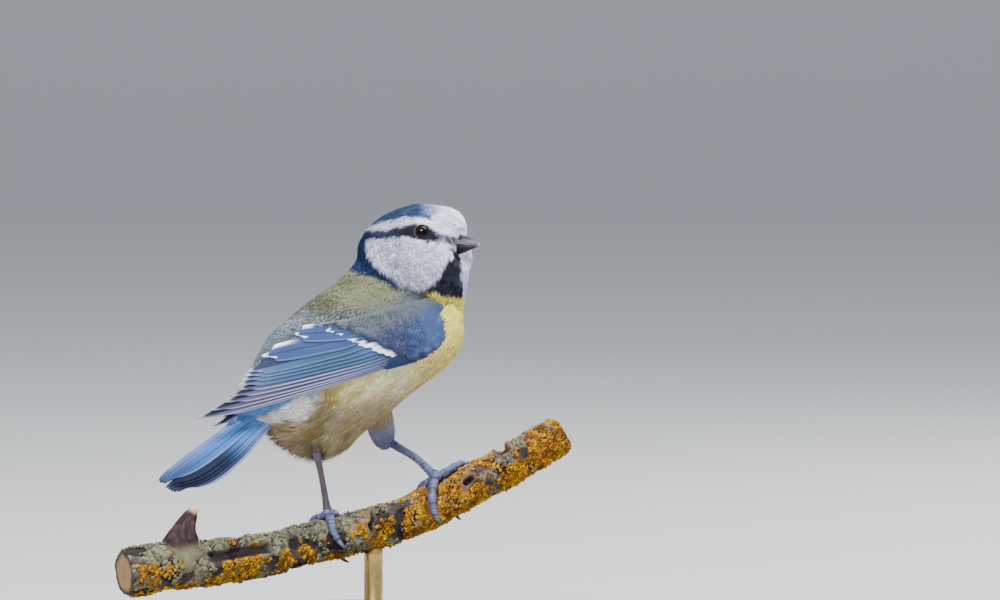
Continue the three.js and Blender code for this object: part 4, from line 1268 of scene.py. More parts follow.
def mandible(upper):
    """One half of the bill, with nostril and groove on the upper one."""
    columns, rows = 60, 36
    u, v = grid(np.linspace(0.24, 1, columns), np.linspace(0, 1, rows))
    length = BILL_LENGTH if upper else BILL_LENGTH - 0.5
    # the tip closes in a round end
    close = np.sqrt(np.clip((1 - u) / 0.04, 0, 1))
    width = along(BILL_WIDTH, u) * (1 if upper else 0.9) * close
    height = along(UPPER_HEIGHT if upper else LOWER_HEIGHT, u) * close
    # the section runs over the culmen and back flat along the cutting edge
    turn = np.clip(v / 0.72, 0, 1) * math.pi
    back = np.clip((v - 0.72) / 0.28, 0, 1)
    side = np.where(v < 0.72, np.cos(turn), -1 + 2 * back) * width
    rise = np.where(v < 0.72, np.sin(turn) ** 0.92, 0) * height
    nostril = np.exp(-(((u - 0.5) * length / 0.75) ** 2 + ((rise - 1.5) / 0.35) ** 2)) * upper
    groove = 0.05 * np.exp(-((rise - 0.75) / 0.22) ** 2) * upper
    side = side * (1 - 0.28 * nostril) * (1 - groove)
    z = BILL_ROOT["z"] - 0.2 * u * u + (rise + 0.09) * (1 if upper else -1)
    points = in_frame(HEAD_YAW, BILL_ROOT["forward"] + u * length, side, z)
    start = np.arange(2, rows - 1, 2)
    caps = np.stack([np.full(len(start), 0), start, start + 1, (start + 2) % rows], -1)
    over = rise + 0.2 * noise(points, 0.6, 51)
    if upper:
        colour = layers(
            mix(rgb(84, 75, 96), rgb(22, 18, 24), smooth(0.7, 1.5, over)),
            (rgb(44, 38, 44), smooth(0.4, 0.1, rise) * 0.8),
            (rgb(40, 34, 40), smooth(0.5, 0.3, u) * 0.5),
            (rgb(196, 150, 140), smooth(0.92, 1.0, u) * 0.8),
            # painted shade: the nostril's opening is near black
            (rgb(20, 16, 18), nostril),
        )
    else:
        colour = layers(
            mix(rgb(62, 54, 68), rgb(16, 13, 16), smooth(0.15, 0.5, over)),
            (rgb(120, 96, 100), smooth(0.93, 1.0, u) * 0.6),
        )
    name = "upper" if upper else "lower"
    faces = np.concatenate([ring_faces(columns, rows, flip=True), caps])
    obj = new_mesh(f"bill_horn_{name}", points, faces, colour)
    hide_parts(f"bill_{name}")
    return obj


def eye(side):
    """The eyeball and the bare lid ring round it, a circle of small beads."""
    surface, facing = eye_frame(side)
    columns, rows = 64, 48
    u, v = grid(np.linspace(0, math.pi, rows), full_turn(columns))
    a = unit(np.cross(facing, [0, 0, 1.0]))
    b = np.cross(facing, a)
    around = np.cos(v)[:, None] * a + np.sin(v)[:, None] * b
    way = np.cos(u)[:, None] * facing + np.sin(u)[:, None] * around
    off = np.sin(u) * EYE_RADIUS
    colour = layers(
        mix(rgb(3, 3, 4), rgb(26, 16, 10), smooth(1.05, 1.25, off)),
        (rgb(8, 6, 6), smooth(1.5, 1.7, off)),
    )
    points = surface - facing * EYE_DEPTH + way * EYE_RADIUS
    name = SIDE_NAME[side]
    ball = new_mesh(f"eyeball_{name}", points, ring_faces(rows, columns, flip=True), colour)
    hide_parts(f"eye_{name}")
    columns, rows = 72, 14
    t, r = grid(full_turn(columns), full_turn(rows))
    bead = 0.19 * (1 + 0.16 * np.cos(24 * t)) * (1 + 0.35 * np.cos(2 * t))
    spread = LID_RADIUS + bead * np.cos(r)
    ring = (
        surface
        + (np.cos(t) * spread)[:, None] * a
        + (np.sin(t) * spread * 0.94)[:, None] * b
        + (bead * np.sin(r) + 0.12)[:, None] * facing
    )
    tint = mix(rgb(50, 47, 52), rgb(20, 19, 24), 0.5 + 0.5 * np.cos(24 * t))
    faces = ring_faces(columns + 1, rows, flip=True) % (columns * rows)
    lid = new_mesh(f"lid_{name}", ring, faces, tint)
    return ball, lid


# Skin: the whole body with its thighs, one closed surface under the coat
SKIN_RINGS = 150
SKIN_SIDES = 120
SKIN_VOXEL = 0.42
THIGH_LINE = {
    "right": np.array([(0.6, 3.0, 4.5), (0.2, 1.2, 0.8), (0.15, 0.2, -1.4), (0.5, 0, -3.2)]),
    "left": np.array([(-2.6, -6.0, 9.0), (-1.2, -3.0, 4.8), (-0.2, -0.6, 1.2), (0.6, -0.2, -2.8)]),
}
THIGH_RADII = {"right": [2.6, 1.7, 1.3, 1.0], "left": [4.2, 3.5, 2.9, 1.7]}
THIGH_TOP = {"right": 51, "left": 55}


def skin():
    """Head, neck, body and thighs as one closed surface under the coat."""
    share, angle = grid(np.linspace(0, 1, SKIN_RINGS), full_turn(SKIN_SIDES))
    at = body_point(share, angle)
    depth = COAT_DEPTH * bare(at, share) + sunken(at)
    points = body_point(share, angle, swell(share, angle) - depth)
    parts = [closed_rings(points.reshape(SKIN_RINGS, SKIN_SIDES, 3), flip=True)]
    for name, shape in LEGS.items():
        path = np.array(shape["thigh"]) + THIGH_LINE[name]
        parts.append(tube(path, THIGH_RADII[name], 24, 24)[:2])
    obj = new_mesh("skin", *join(parts))
    bpy.context.view_layer.objects.active = obj
    remesh = obj.modifiers.new("one", "REMESH")
    remesh.mode = "VOXEL"
    remesh.voxel_size = SKIN_VOXEL * MM
    ease = obj.modifiers.new("ease", "SMOOTH")
    ease.factor = 0.5
    ease.iterations = 3
    depsgraph = bpy.context.evaluated_depsgraph_get()
    made = bpy.data.meshes.new_from_object(obj.evaluated_get(depsgraph))
    obj.modifiers.clear()
    obj.data = made
    co = np.empty(len(made.vertices) * 3, dtype=np.float32)
    made.vertices.foreach_get("co", co)
    co = co.reshape(-1, 3) / MM
    paint(made, skin_tint(co))
    made.polygons.foreach_set("use_smooth", np.full(len(made.polygons), True))
    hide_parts("head", "neck", "torso", "thigh_left", "thigh_right")
    return obj


def skin_tint(at):
    """The coat's colours, painted darker as shade under the strands, for places on the skin, by the
    nearest place on the body.
    """
    share, angle = grid(np.linspace(0, 1, 200), full_turn(160))
    dense = body_point(share, angle, -0.8)
    tree = KDTree(len(dense))
    for k, p in enumerate(dense):
        tree.insert(p, k)
    tree.balance()
    nearest = np.array([tree.find(p)[1] for p in at])
    thigh = np.zeros(len(at))
    for name, shape in LEGS.items():
        off = norm(at - np.array(shape["thigh"]))
        top = THIGH_TOP[name]
        thigh = np.maximum(thigh, smooth(5.0, 3.6, off) * smooth(top, top - 2, at[:, 2]))
    # painted shade: the skin under the coat is 0.8 as bright as the coat
    return mix(plumage(share[nearest], angle[nearest], 0.1) * 0.8, THIGH_SKIN, thigh)


# Coat
COAT_TRIES = 260000
MOST_IN_PIECE = 19000
EYE_RIM = 2.5
BILL_RIM = 3.0
VENT_SPOT = (-3.6, 50.6)


def sequence(count, seed):
    """Evenly spread pairs from 0 to 1."""
    k = np.arange(count) + seed * 1000
    return (k * 0.7548776662466927) % 1.0, (k * 0.5698402909980532) % 1.0


def under_wing(share, angle):
    """Whether the folded wing covers the body, but for a rim."""
    x, z = near_side(share, angle)
    turn = off_back(angle)
    return (edge_distance(WING_AREA, x, z) > 2.2) & (turn > 0.35) & (turn < 2.6) & (share > 0.4)


def spread_roots(share_from, share_to, per_mm2, seed):
    """Places on the body at an even density, but for the wings, the eyes and the bill."""
    a, b = sequence(COAT_TRIES, seed)
    share = share_from + (share_to - share_from) * a
    angle = 2 * math.pi * b
    step = 0.003
    ds = (body_point(share + step, angle) - body_point(share - step, angle)) / (2 * step)
    da = (body_point(share, angle + step) - body_point(share, angle - step)) / (2 * step)
    area = norm(np.cross(ds, da)) * (share_to - share_from) * 2 * math.pi
    at = body_point(share, angle)
    free = ~under_wing(share, angle) & (eye_distance(at) > EYE_RIM) & (bill_distance(at) > BILL_RIM)
    ok = rng.random(COAT_TRIES) < area * per_mm2 / COAT_TRIES * free
    return share[ok], angle[ok]


def mottled(tint, level, spread):
    """A colour at a lightness, with each strand's own small difference from it."""
    return tint * (level + rng.normal(0, spread, len(tint)))[:, None]


def coat_pieces(name, roots, way, normal, size, widths, tint, places, lift, droop):
    """The strands of a region, in as many meshes as their number asks for."""
    order = np.argsort(places[:, 0], kind="stable")
    number = math.ceil(len(roots) / MOST_IN_PIECE)
    made = []
    for k, part in enumerate(np.array_split(order, number)):
        label = name if number == 1 else f"{name}_{k + 1}"
        rows = (roots, way, normal, size, widths, tint, places, lift, droop)
        obj = strands(label, *(values[part] for values in rows))
        made.append(obj)
    return made


def coat(name, share_from, share_to, per_mm2, seed, length, width):
    """One region of the coat."""
    share, angle = spread_roots(share_from, share_to, per_mm2, seed)
    at, flow, across, normal = body_frame(share, angle)
    x, z = near_side(share, angle)
    cover = bare(at, share)
    depth = COAT_DEPTH * cover
    roots = at + normal * (swell(share, angle) - depth - 0.15 - 0.6 * sunken(at))[:, None]
    behind_neck = smooth(0.42, 0.5, share)
    back = within(MANTLE, x, z, 2.0) * behind_neck
    cheek = smooth(0.46, 0.36, share) * smooth(106, 99, z)
    hang = smooth(58, 52, z) * smooth(-20, -10, x) * smooth(9, 3, x) * smooth(0.6, 0.7, share)
    clump = noise(at, 1.3, seed + 60) * (1 - 0.7 * behind_neck)

    # the lie: toward the tail, with small swirls
    swirl = 0.10 * noise(at, 6.0, seed + 80) + 0.12 * noise(at, 1.5, seed + 70)
    swirl = swirl * (1 - 0.65 * back) + rng.normal(0, 0.07, len(at))
    way = unit(flow + across * swirl[:, None])
    # back and cheek feathers fall toward the wing, belly feathers hang and sweep back
    fall = np.array([0, 0, -1.0])
    sink = fall - normal * (normal @ fall)[:, None]
    way = unit(way + sink * (0.55 * back)[:, None])
    way = unit(way + sink * (0.65 * cheek)[:, None])
    way = unit(way + fall * (0.5 * hang)[:, None])
    # round each eye they turn away from it
    for side in SIDE_NAME:
        away = at - eye_frame(side)[0]
        pull = smooth(4.2, 2.4, norm(away)) * 0.85
        away = away - normal * np.sum(away * normal, -1, keepdims=True)
        way = unit(way * (1 - pull)[:, None] + unit(away) * pull[:, None])

    size = (0.4 + 0.6 * cover) * length * rng.uniform(0.7, 1.2, len(at)) * (1 + 0.2 * clump)
    size = size * (0.4 + 0.6 * smooth(2.4, 4.8, eye_distance(at))) * (1 + 0.8 * hang)
    lift = np.clip(depth / size * 1.2, 0.08, 0.6) + 0.07 * clump + 0.1 * hang

    # colours are those of the place half way along each strand
    step = 0.004
    pace = norm(body_point(share + step, angle) - at) / step
    tint = plumage(np.clip(share + 0.5 * size / pace, 0, 1), angle)
    near = angle % (2 * math.pi) > math.pi
    spot = hang * smooth(2.2, 1.2, np.hypot(x - VENT_SPOT[0], z - VENT_SPOT[1])) * near
    tuft = noise(at, 0.9, 47) > 0.55
    tint = mix(tint, VENT_DARK, np.clip(spot + 0.4 * hang * tuft, 0, 0.9))
    # locks: streaks along the lie, lighter where they stand up and darker between them, partly the
    # coat's own tone and partly painted shade
    locks = lie_noise(share, angle, (26, 9), 0.5, seed + 90)
    under = np.maximum(smooth(0.5, 0.56, share) * (1 - back), 0.6 * cheek)
    tint = mottled(tint, 1 + 0.08 * clump + (0.05 + 0.15 * under) * locks, 0.07)
    lift = lift + 0.05 * locks * under
    widths = width * rng.uniform(0.8, 1.25, len(at)) * (0.8 + 0.2 * cover)
    places = np.stack([share, (angle / (2 * math.pi)) % 1.0], -1)
    return coat_pieces(
        name, roots, way, normal, size, widths, tint, places, lift, lift * 0.5,
    )


# The part of the wing under small soft feathers: its lower and upper edge in a and b
SOFT_LOW = (
    (-2.2, 0, 4, 9, 12.6, 17.4, 21.6, 25.6, 36.0),
    (2.0, -1.3, -2.9, -3.4, 0.3, 5.0, 8.6, 11.6, 14.1),
)
SOFT_HIGH = ((-2.2, -1, 2, 10, 22, 30, 36.0), (6.0, 8.6, 11.0, 12.0, 12.6, 13.6, 14.6))
SOFT_TRIES = 21000
SOFT_TALLEST = 14.5


def wing_coat(side):
    """Small coverts and scapulars that run over the wing's shoulder and upper edge."""
    seed = 200 + side
    s, t = sequence(SOFT_TRIES, seed)
    a = -2.2 + s * 38.2
    low = np.interp(a, *SOFT_LOW) + 0.35 * np.sin(a * 2.1)
    high = np.interp(a, *SOFT_HIGH)
    b = low + (high - low) * t
    ok = rng.random(SOFT_TRIES) < (high - low) / SOFT_TALLEST
    a, b, low = a[ok], b[ok], low[ok]
    soft = 0.75 + 0.6 * smooth(-2, 4, a) * smooth(0, 2.0, b - low)
    place = wing_surface(side)
    at = place(a, b, soft)
    flow, rise, normal = wing_frame(side, place, a, b)
    clump = noise(at, 1.3, seed)
    fall = 0.12 + 0.5 * smooth(1.5, 6.0, b - low)
    fall = fall + 0.05 * noise(at, 1.5, seed + 1) + rng.normal(0, 0.06, len(a))
    way = unit(flow - rise * fall[:, None])
    tint = layers(
        back_tint(at, *in_picture(wing_surface(1)(a, b, soft))),
        (rgb(70, 80, 118), smooth(2.5, 0.5, b - low) * smooth(2, 10, a) * 0.6),
        (rgb(168, 172, 204), smooth(0.35, 0.8, noise(at, 0.8, seed + 5)) * 0.12),
    )
    # painted shade darkens the soft feathers' upper band
    shade = 1 - 0.2 * smooth(-3.5, -1.0, b - np.interp(a, *SOFT_HIGH))
    tint = mottled(tint, shade + 0.07 * clump, 0.08)
    size = rng.uniform(1.7, 2.9, len(a)) * (1 - 0.3 * smooth(2.0, 0.0, b - low))
    widths = rng.uniform(0.24, 0.38, len(a))
    places = np.stack([(a + 3) / 42, (b + 5) / 21], -1)
    lift = 0.15 + 0.03 * clump
    return coat_pieces(
        f"coat_wing_{SIDE_NAME[side]}", at - normal * 0.35, way, normal, size,
        widths, tint, places, lift, lift * 0.5,
    )


def wing_pad(side):
    """The solid shoulder that the wing's soft feathers lie on."""
    columns, rows = 60, 30
    u, v = sheet(columns, rows)
    a = -1.8 + 36.0 * u
    low = np.interp(a, *SOFT_LOW) + 0.5
    b = low + (np.interp(a, *SOFT_HIGH) - 0.2 - low) * v
    rim = smooth(0, 0.12, v) * smooth(0, 0.05, u)
    place = wing_surface(side)
    outer = place(a, b, 0.7 * rim - 0.4)
    inner = place(a, b, -4.5)
    # painted shade: the pad under the soft feathers is darker than they are, and its yellow front
    # rim and inner face are darkened copies of the breast's yellow and cream
    tint = back_tint(outer, *in_picture(wing_surface(1)(a, b))) * 0.85
    front = np.maximum(smooth(0.06, 0.02, u), smooth(0.05, 0.0, v) * (a < 9))
    tint = mix(tint, YELLOW * 0.75, front)
    obj = new_mesh(
        f"wing_pad_{SIDE_NAME[side]}", np.concatenate([outer, inner]), grid_faces(columns, rows),
        np.concatenate([tint, mix(YELLOW * 0.75, CREAM * 0.6, u)]),
    )
    return obj


# Where breast feathers lap over the near wing's front edge: a and b along the line
LAP_LINE = np.array([(-2.4, 6.8), (-2.8, 4.2), (-2.3, 1.6), (0, -1.7), (4, -3.3), (9, -4.0)])


def breast_lap():
    """Yellow breast feathers that lap over the near wing's front edge."""
    s, t = sequence(1500, 311)
    line = curve(LAP_LINE, s)
    a = line[:, 0] + 2.6 * (t - 0.72) + 0.5 * np.sin(23 * s)
    b = line[:, 1] + rng.normal(0, 0.45, len(s)) - 0.9 * (1 - t) * smooth(0.45, 0.7, s)
    out = wing_out(a, b)
    at = wing_point(1, a, b, out + 0.35 + 0.35 * t)
    flow, rise, normal = wing_frame(1, lambda a, b: wing_point(1, a, b, out), a, b)
    way = unit(flow + rise * (rng.normal(-0.05, 0.2, len(s)) - 0.3 * smooth(0.3, 0.0, s))[:, None])
    tint = mix(YELLOW * 0.85, rgb(226, 200, 132), smooth(0.3, 1.0, s))
    tint = mottled(tint, 0.85 + 0.2 * noise(at, 0.7, 16), 0.08)
    size = rng.uniform(1.1, 3.0, len(s)) * (1 - 0.3 * smooth(0.7, 1.0, s))
    widths = rng.uniform(0.22, 0.32, len(s))
    places = np.stack([0.5 + 0.1 * s, t * 0.2 + 0.1], -1)
    lift = np.full(len(s), 0.06)
    return coat_pieces(
        "coat_lap_right", at, way, normal, size, widths, tint, places, lift, lift,
    )


THIGH_COAT = {
    "right": {
        "count": 1800, "from": 0.5, "fuller": 0.0,
        "base": rgb(112, 94, 66), "low": rgb(84, 76, 74),
    },
    "left": {
        "count": 6000, "from": 0.2, "fuller": 0.35,
        "base": rgb(140, 144, 174), "low": rgb(122, 128, 162),
    },
}


def thigh_coat():
    """Short feathers down both thighs, closing round the top of the tarsus."""
    rows = []
    for k, (name, look) in enumerate(THIGH_COAT.items()):
        path = np.array(LEGS[name]["thigh"]) + THIGH_LINE[name]
        s, t = sequence(look["count"], 400 + k)
        t = look["from"] + (1 - look["from"]) * t
        middle, before, after = (curve(path, t + step) for step in (0, -0.02, 0.02))
        down = unit(after - before)
        across = unit(np.cross(down, [0.3, 0.9, 0.1]))
        turn = (2 * math.pi * s)[:, None]
        out = across * np.cos(turn) + np.cross(down, across) * np.sin(turn)
        radius = along(THIGH_RADII[name], t) + look["fuller"]
        radius = radius * np.sqrt(1 - smooth(0.86, 1.06, t) * 0.9)
        at = middle + out * radius[:, None]
        way = unit(down + rng.normal(0, 0.1, at.shape))
        tint = layers(
            mix(look["base"], look["low"], smooth(0.5, 0.9, t)),
            (rgb(160, 142, 112), smooth(0.42, 0.3, t + 0.08 * noise(at, 0.7, 9))),
        )
        tint = mottled(tint, 1 + 0.1 * noise(at, 0.8, 15), 0.08)
        place = np.stack([0.3 * k + 0.2 * s + 0.1, 0.1 + 0.2 * t], -1)
        size = rng.uniform(1.3, 2.3, len(at)) * (1 - 0.35 * smooth(0.7, 1.0, t))
        rows.append((at - out * 0.3, way, out, size, tint, place))
    roots, ways, outs, size, tint, places = (np.concatenate(part) for part in zip(*rows))
    widths = rng.uniform(0.22, 0.34, len(roots))
    lift = np.full(len(roots), 0.16)
    return coat_pieces(
        "coat_thighs", roots, ways, outs, size, widths, tint, places, lift, lift,
    )


def crust():
    """Lichen lobes, small ruffled lumps that stand on the bark."""
    s, t = sequence(LICHEN_TRIES, 3)
    at, way = branch_surface(0.004 + 0.992 * s, 2 * math.pi * t)
    gold, grey = lichen_cover(at)
    deep, rim = scar_depth(at)
    ok = rng.random(LICHEN_TRIES) < np.maximum(gold, grey * 0.8)
    ok &= (toe_distance(at) > 2.4) & (split_depth(at) < 0.2) & (deep < 0.1) & (rim < 0.5)
    at, way, gold, grey = at[ok], way[ok], gold[ok], grey[ok]
    number = len(at)
    way = unit(way + rng.normal(0, 0.35, way.shape))
    tangent = unit(np.cross(way, rng.normal(0, 1, way.shape)))
    side = np.cross(way, tangent)
    size = rng.uniform(0.22, 0.72, number) * (1 + 0.3 * noise(at, 2.0, 26))
    rows = []
    # each lobe's rings: radius and height as shares of its size
    for radius, height in ((0.55, -0.3), (1.0, 0.28), (0.62, 0.5)):
        for turn in full_turn(LOBE_SIDES):
            reach = radius * rng.uniform(0.45, 1.5, number) * size
            up = height * rng.uniform(0.5, 2.0, number) * size
            rows.append(
                at + tangent * (math.cos(turn) * reach)[:, None]
                + side * (math.sin(turn) * reach)[:, None] + way * (up + 0.12)[:, None]
            )
    rows.append(at + way * (size * 0.22 + 0.1)[:, None])
    rows.append(at - way * (size * 0.3)[:, None])
    pattern = []
    for a, b, c, d in ring_faces(3, LOBE_SIDES):
        pattern += [(a, b, c), (a, c, d)]
    for k in range(LOBE_SIDES):
        after = (k + 1) % LOBE_SIDES
        pattern += [(2 * LOBE_SIDES + k, 2 * LOBE_SIDES + after, 3 * LOBE_SIDES)]
        pattern += [(k, 3 * LOBE_SIDES + 1, after)]
    starts = np.arange(number)[:, None, None] * len(rows)
    bright = np.clip(0.45 + 0.5 * noise(at, 2.6, 27) + rng.normal(0, 0.25, number), 0, 1)
    yellow = layers(
        mix(LICHEN_RUST, LICHEN_GOLD, smooth(0, 0.45, bright)),
        (LICHEN_LEMON, smooth(0.6, 1.0, bright)),
    )
    stone = mix(LICHEN_GREY, rgb(88, 78, 80), np.clip(noise(at, 2.0, 28), 0, 1))
    is_gold = rng.random(number) < gold / np.maximum(gold + grey, 1e-6)
    base = np.where(is_gold[:, None], yellow, stone) * rng.uniform(0.45, 1.2, number)[:, None]
    # painted shade: each lobe is darker underneath and in the dip at its top, and lighter at its
    # widest rim
    painted_shades = np.array([*np.repeat([0.45, 1.1, 0.85], LOBE_SIDES), 0.6, 0.4])
    obj = new_mesh(
        "lichen", np.stack(rows, 1).reshape(-1, 3), (starts + np.array(pattern)).reshape(-1, 3),
        (base[:, None, :] * painted_shades[None, :, None]).reshape(-1, 3),
    )
    return obj


def torn(share, angle, length):
    """The ragged outline of the broken twig."""
    return 0.5 * np.sin(angle * 3 + 1) * share + 0.35 * np.sin(angle * 7 + share * 9)


def snag():
    """The broken side twig, torn to a point."""
    path = np.array([(x, branch_y(x) + off, z) for x, off, z in SNAG_LINE])
    points, faces, share = tube(path, SNAG_RADII, 60, 48, torn)
    grain = noise(points * np.array([1, 1, 0.25]), 0.7, 61)
    points = points + unit(points - points.mean(0)) * (noise(points, 1.2, 62) * 0.3)[:, None]
    crusted = smooth(29, 26, points[:, 2] + 1.5 * noise(points, 2.0, 63))
    colour = layers(
        mix(rgb(58, 42, 42), rgb(30, 20, 24), np.clip(0.5 + grain, 0, 1)),
        (rgb(214, 178, 140), smooth(0.86, 0.98, share)),
        (LICHEN_GREY * (0.9 + 0.2 * grain[:, None]), crusted * 0.8),
    )
    obj = new_mesh("broken_twig", points, faces, colour)
    return obj


# Stand: radius and height along the outline of each turned piece
BASE_OUTLINE = [
    (0.01, 0), (37.4, 0), (37.8, 0.15), (38, 0.6), (38, 4.8), (37.8, 5.05), (37.0, 5.2),
    (36.8, 5.5), (36.6, 6.4), (36.2, 7.2), (35.6, 7.7), (34.8, 7.95), (34, 8), (20, 8), (0.01, 8),
]
ROD_OUTLINE = [
    (0.01, 8.3), (4.4, 8.3), (4.6, 8.5), (4.6, 9.1), (4.4, 9.4), (2.7, 9.7), (2.4, 10.1),
    (2.4, 23.0), (2.4, 26.6), (0.01, 26.6),
]
ROD_X = 6.0


def turned(name, outline, sides, x, y):
    """A turned piece that stands at x and y."""
    radius, height = np.array(outline).T[..., None]
    turn = full_turn(sides)
    points = np.broadcast_arrays(x + radius * np.cos(turn), y + radius * np.sin(turn), height)
    points = np.stack(points, -1).reshape(-1, 3)
    return new_mesh(name, points, ring_faces(len(outline), sides))


def stand():
    """The turned base and the rod."""
    base = turned("stand_base_turned", BASE_OUTLINE, 160, 0.0, 0.0)
    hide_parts("stand_base")
    rod = turned("stand_rod_turned", ROD_OUTLINE, 64, ROD_X, branch_y(ROD_X))
    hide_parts("stand_rod")
    return base, rod


# Materials
def material(name, roughness, specular=0.5):
    """A new node material, with its nodes, links and shader."""
    made = bpy.data.materials.new(name)
    made.use_nodes = True
    nodes = made.node_tree.nodes
    shader = nodes["Principled BSDF"]
    shader.inputs["Roughness"].default_value = roughness
    shader.inputs["Specular IOR Level"].default_value = specular
    return made, nodes, made.node_tree.links, shader


def add(nodes, kind, **values):
    """A new node, with inputs set by name. An underscore stands for a space."""
    made = nodes.new(kind)
    for name, value in values.items():
        made.inputs[name.replace("_", " ")].default_value = value
    return made


def sum_node(nodes, links, operation, *inputs):
    """The output of a sum, whose inputs are numbers or other nodes' outputs."""
    made = nodes.new("ShaderNodeMath")
    made.operation = operation
    for socket, value in zip(made.inputs, inputs):
        if isinstance(value, float):
            socket.default_value = value
        else:
            links.new(value, socket)
    return made.outputs[0]


def speckle(nodes, links, **values):
    """Noise in the object's own space."""
    place = nodes.new("ShaderNodeTexCoord")
    speck = add(nodes, "ShaderNodeTexNoise", **values)
    links.new(place.outputs["Object"], speck.inputs["Vector"])
    return speck.outputs["Fac"]


def shaded(nodes, links, colour, value, lowest, factors):
    """A colour made darker and lighter by a value that runs from lowest to 1."""
    band = add(
        nodes, "ShaderNodeMapRange", From_Min=lowest, To_Min=factors[0], To_Max=factors[1]
    )
    links.new(value, band.inputs["Value"])
    scaled = nodes.new("ShaderNodeVectorMath")
    scaled.operation = "SCALE"
    links.new(colour, scaled.inputs[0])
    links.new(band.outputs["Result"], scaled.inputs["Scale"])
    return scaled.outputs["Vector"]


def raise_grain(nodes, links, shader, height, strength):
    """Fine relief from a height."""
    relief = add(nodes, "ShaderNodeBump", Strength=strength, Distance=0.1 * MM)
    links.new(height, relief.inputs["Height"])
    links.new(relief.outputs["Normal"], shader.inputs["Normal"])


def two_tone(nodes, links, shader, value, stops):
    """A base colour that runs between two stops, each a place and a colour."""
    ramp = nodes.new("ShaderNodeValToRGB")
    for element, (place, colour) in zip(ramp.color_ramp.elements, stops):
        element.position = place
        element.color = (*colour, 1)
    links.new(value, ramp.inputs["Fac"])
    links.new(ramp.outputs["Color"], shader.inputs["Base Color"])


def tinted(name, roughness, specular, grain, grain_scale, bump, sheen=0.0, barbed=False):
    """A material that takes its colour from the mesh, with fine grain and relief."""
    made, nodes, links, shader = material(name, roughness, specular)
    tint = nodes.new("ShaderNodeVertexColor")
    tint.layer_name = "Tint"
    height = speckle(nodes, links, Scale=grain_scale, Detail=4)
    colour = shaded(nodes, links, tint.outputs["Color"], height, 0.0, (1 - grain, 1 + grain))
    if barbed:
        height = barbs(nodes, links)
        colour = shaded(nodes, links, colour, height, -1.0, BARB_SHADES)
    links.new(colour, shader.inputs["Base Color"])
    if sheen:
        shader.inputs["Sheen Weight"].default_value = sheen
        shader.inputs["Sheen Roughness"].default_value = 0.5
    raise_grain(nodes, links, shader, height, bump)
    return made


# Barbs: how far they slant for each millimetre across, how many radians their wave turns in
# a millimetre, and its two shades
BARB_SLANT = -2.6
BARB_RATE = 13.0
BARB_SHADES = (0.88, 1.08)


def barbs(nodes, links):
    """A wave that follows fine barbs, slanting away from the shaft."""
    uv = nodes.new("ShaderNodeUVMap")
    uv.uv_map = "Vane"
    parts = nodes.new("ShaderNodeSeparateXYZ")
    links.new(uv.outputs["UV"], parts.inputs["Vector"])
    side = sum_node(nodes, links, "ABSOLUTE", parts.outputs["Y"])
    slant = sum_node(nodes, links, "MULTIPLY_ADD", side, BARB_SLANT, parts.outputs["X"])
    return sum_node(nodes, links, "SINE", sum_node(nodes, links, "MULTIPLY", slant, BARB_RATE))


def wood():
    """Dark stained wood with a straight grain."""
    made, nodes, links, shader = material("base_wood_stained", 0.38)
    place = nodes.new("ShaderNodeTexCoord")
    stretch = add(nodes, "ShaderNodeMapping", Scale=(18, 240, 120))
    rings = add(nodes, "ShaderNodeTexNoise", Scale=1.2, Detail=8, Distortion=1.5)
    links.new(place.outputs["Object"], stretch.inputs["Vector"])
    links.new(stretch.outputs["Vector"], rings.inputs["Vector"])
    stops = ((0.3, rgb(52, 32, 22)), (0.7, rgb(104, 68, 44)))
    two_tone(nodes, links, shader, rings.outputs["Fac"], stops)
    raise_grain(nodes, links, shader, rings.outputs["Fac"], 0.15)
    return made


def brass():
    """Plain brushed brass."""
    made, nodes, links, shader = material("rod_brass", 0.3)
    shader.inputs["Metallic"].default_value = 1.0
    stops = ((0.0, rgb(168, 138, 78)), (1.0, rgb(206, 178, 112)))
    two_tone(nodes, links, shader, speckle(nodes, links, Scale=900), stops)
    return made


def dress(obj, made):
    """Gives an object its one material."""
    obj.data.materials.clear()
    obj.data.materials.append(made)


# Everything of the bird and its stand
down = tinted("down", 0.8, 0.15, grain=0.1, grain_scale=1500, bump=0.15, sheen=0.04)
vanes = tinted("vanes", 0.62, 0.12, grain=0.06, grain_scale=900, bump=0.12, barbed=True)
leg_skin = tinted("leg_skin", 0.5, 0.4, grain=0.15, grain_scale=1800, bump=0.3)
horn = tinted("horn", 0.42, 0.3, grain=0.1, grain_scale=1200, bump=0.15)
bark = tinted("bark", 0.85, 0.25, grain=0.3, grain_scale=1400, bump=0.6)
eye_glass = tinted("eye_gloss", 0.05, 0.12, grain=0.02, grain_scale=400, bump=0.0)
gloss = eye_glass.node_tree.nodes["Principled BSDF"]
gloss.inputs["Coat Weight"].default_value = 0.05
gloss.inputs["Coat Roughness"].default_value = 0.02

# Share of the body from and to, strands to a square millimetre, seed, length and width
COATS = [
    ("coat_face", 0.0, 0.17, 17.0, 1, 1.9, 0.22),
    ("coat_head", 0.165, 0.36, 14.5, 2, 3.0, 0.25),
    ("coat_neck", 0.355, 0.5, 12.0, 3, 2.8, 0.29),
    ("coat_breast", 0.495, 0.63, 11.5, 4, 3.4, 0.30),
    ("coat_belly", 0.625, 0.78, 11.0, 5, 3.8, 0.31),
    ("coat_rear", 0.775, 1.0, 12.0, 6, 3.8, 0.31),
]


pieces = []


def keep(made, *objects):
    """Gives pieces their material."""
    for obj in objects:
        dress(obj, made)
        pieces.append(obj)


